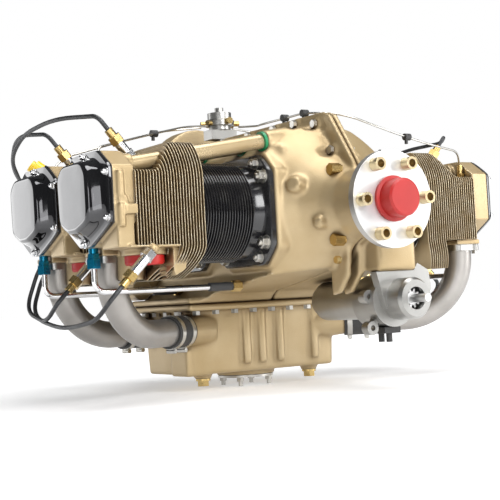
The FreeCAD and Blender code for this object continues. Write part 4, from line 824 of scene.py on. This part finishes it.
parted("flow_divider", "engine",
       ("divider_body", satin_aluminium, "grey_aluminium", lambda at: not off_divider(at)),
       ("divider_ports", brass, "brass", off_divider))
give(plated, "injector_lines")
give(brass, "injector_nozzles")
give(black_rubber, "line_clamps")


# A drain line leaves each rocker box by a blue anodised fitting: a bent steel tube, then a short black hose
# with a brass union at the crankcase.
anodised = smooth_finish("blue_anodised", (0.0, 0.22, 0.38, 1), (0.0, 0.15, 0.27, 1), bump=0.05,
                         metallic=0.85,
                         roughness=0.2, coat_weight=0.4)
give(anodised, "drain_fittings")


parted("drain_tubes", "engine",
       ("drain_pipes", chrome, "plated_steel", lambda at: abs(at.x) > 182.5 or at.z > -107),
       ("drain_hoses", black_rubber, "rubber", lambda at: 139.2 < abs(at.x) <= 182.5 and at.z <= -107),
       ("drain_unions", brass, "brass", lambda at: abs(at.x) <= 139.2 and at.z <= -107))


# The intake runs are bent steel tube, bead blasted to a satin grey, flanged to the heads and joined to the
# sump by reinforced black hoses with steel bands.
give(smooth_finish("blasted_pipe", (0.40, 0.38, 0.36, 1), (0.30, 0.285, 0.265, 1), grain_scale=700.0,
                   bump=0.3,
                   metallic=0.9, roughness=0.42), "intake_pipes_left", "intake_pipes_right")
give(satin_aluminium, "intake_flanges")
give(black_rubber, "intake_hoses")
give(plated, "hose_clamps", "throttle_pad_cover")


# The starter is die-cast aluminium with a machined white nose, a drawn steel motor can and a black terminal
# base.
give(satin_aluminium, "starter_body")
parted("starter_motor", "engine",
       ("motor_can", satin_aluminium, "grey_aluminium", lambda at: at.z > -196),
       ("terminals", black_rubber, "rubber", lambda at: at.z <= -196))


# Behind stand the magnetos in grey paint, the oil filter in gloss black, blank pad covers, and the filler
# tube with the yellow knob of its dipstick.
grey_paint = smooth_finish("grey_paint", (0.16, 0.16, 0.165, 1), (0.11, 0.11, 0.115, 1), bump=0.3,
                           roughness=0.38,
                           metallic=0.2)
give(grey_paint, "magneto_left", "magneto_right")
give(black_enamel, "oil_filter", "oil_filler_tube")
give(satin_aluminium, "accessory_covers")
DIP_FOOT, DIP_TOP = Vector((-124, 562, -40)), Vector((-300, 640, 112))
dip_way = (DIP_TOP - DIP_FOOT).normalized()
yellow = smooth_finish("yellow_plastic", (0.85, 0.58, 0.012, 1), (0.75, 0.48, 0.01, 1), bump=0.12,
                       roughness=0.32,
                       coat_weight=0.3)
parted("dipstick", "dipstick",
       ("dipstick_knob", yellow, "yellow_plastic", lambda at: (at - DIP_TOP).dot(dip_way) > 0.05),
       ("dipstick_blade", chrome, "plated_steel", lambda at: (at - DIP_TOP).dot(dip_way) <= 0.05))


# The pistons are forged alloy, turned fine, with a duller crown.
give(turned_finish("turned_alloy", (0.72, 0.72, 0.73, 1), (0.6, 0.6, 0.61, 1), 0.35),
     "piston_1", "piston_2", "piston_3", "piston_4")
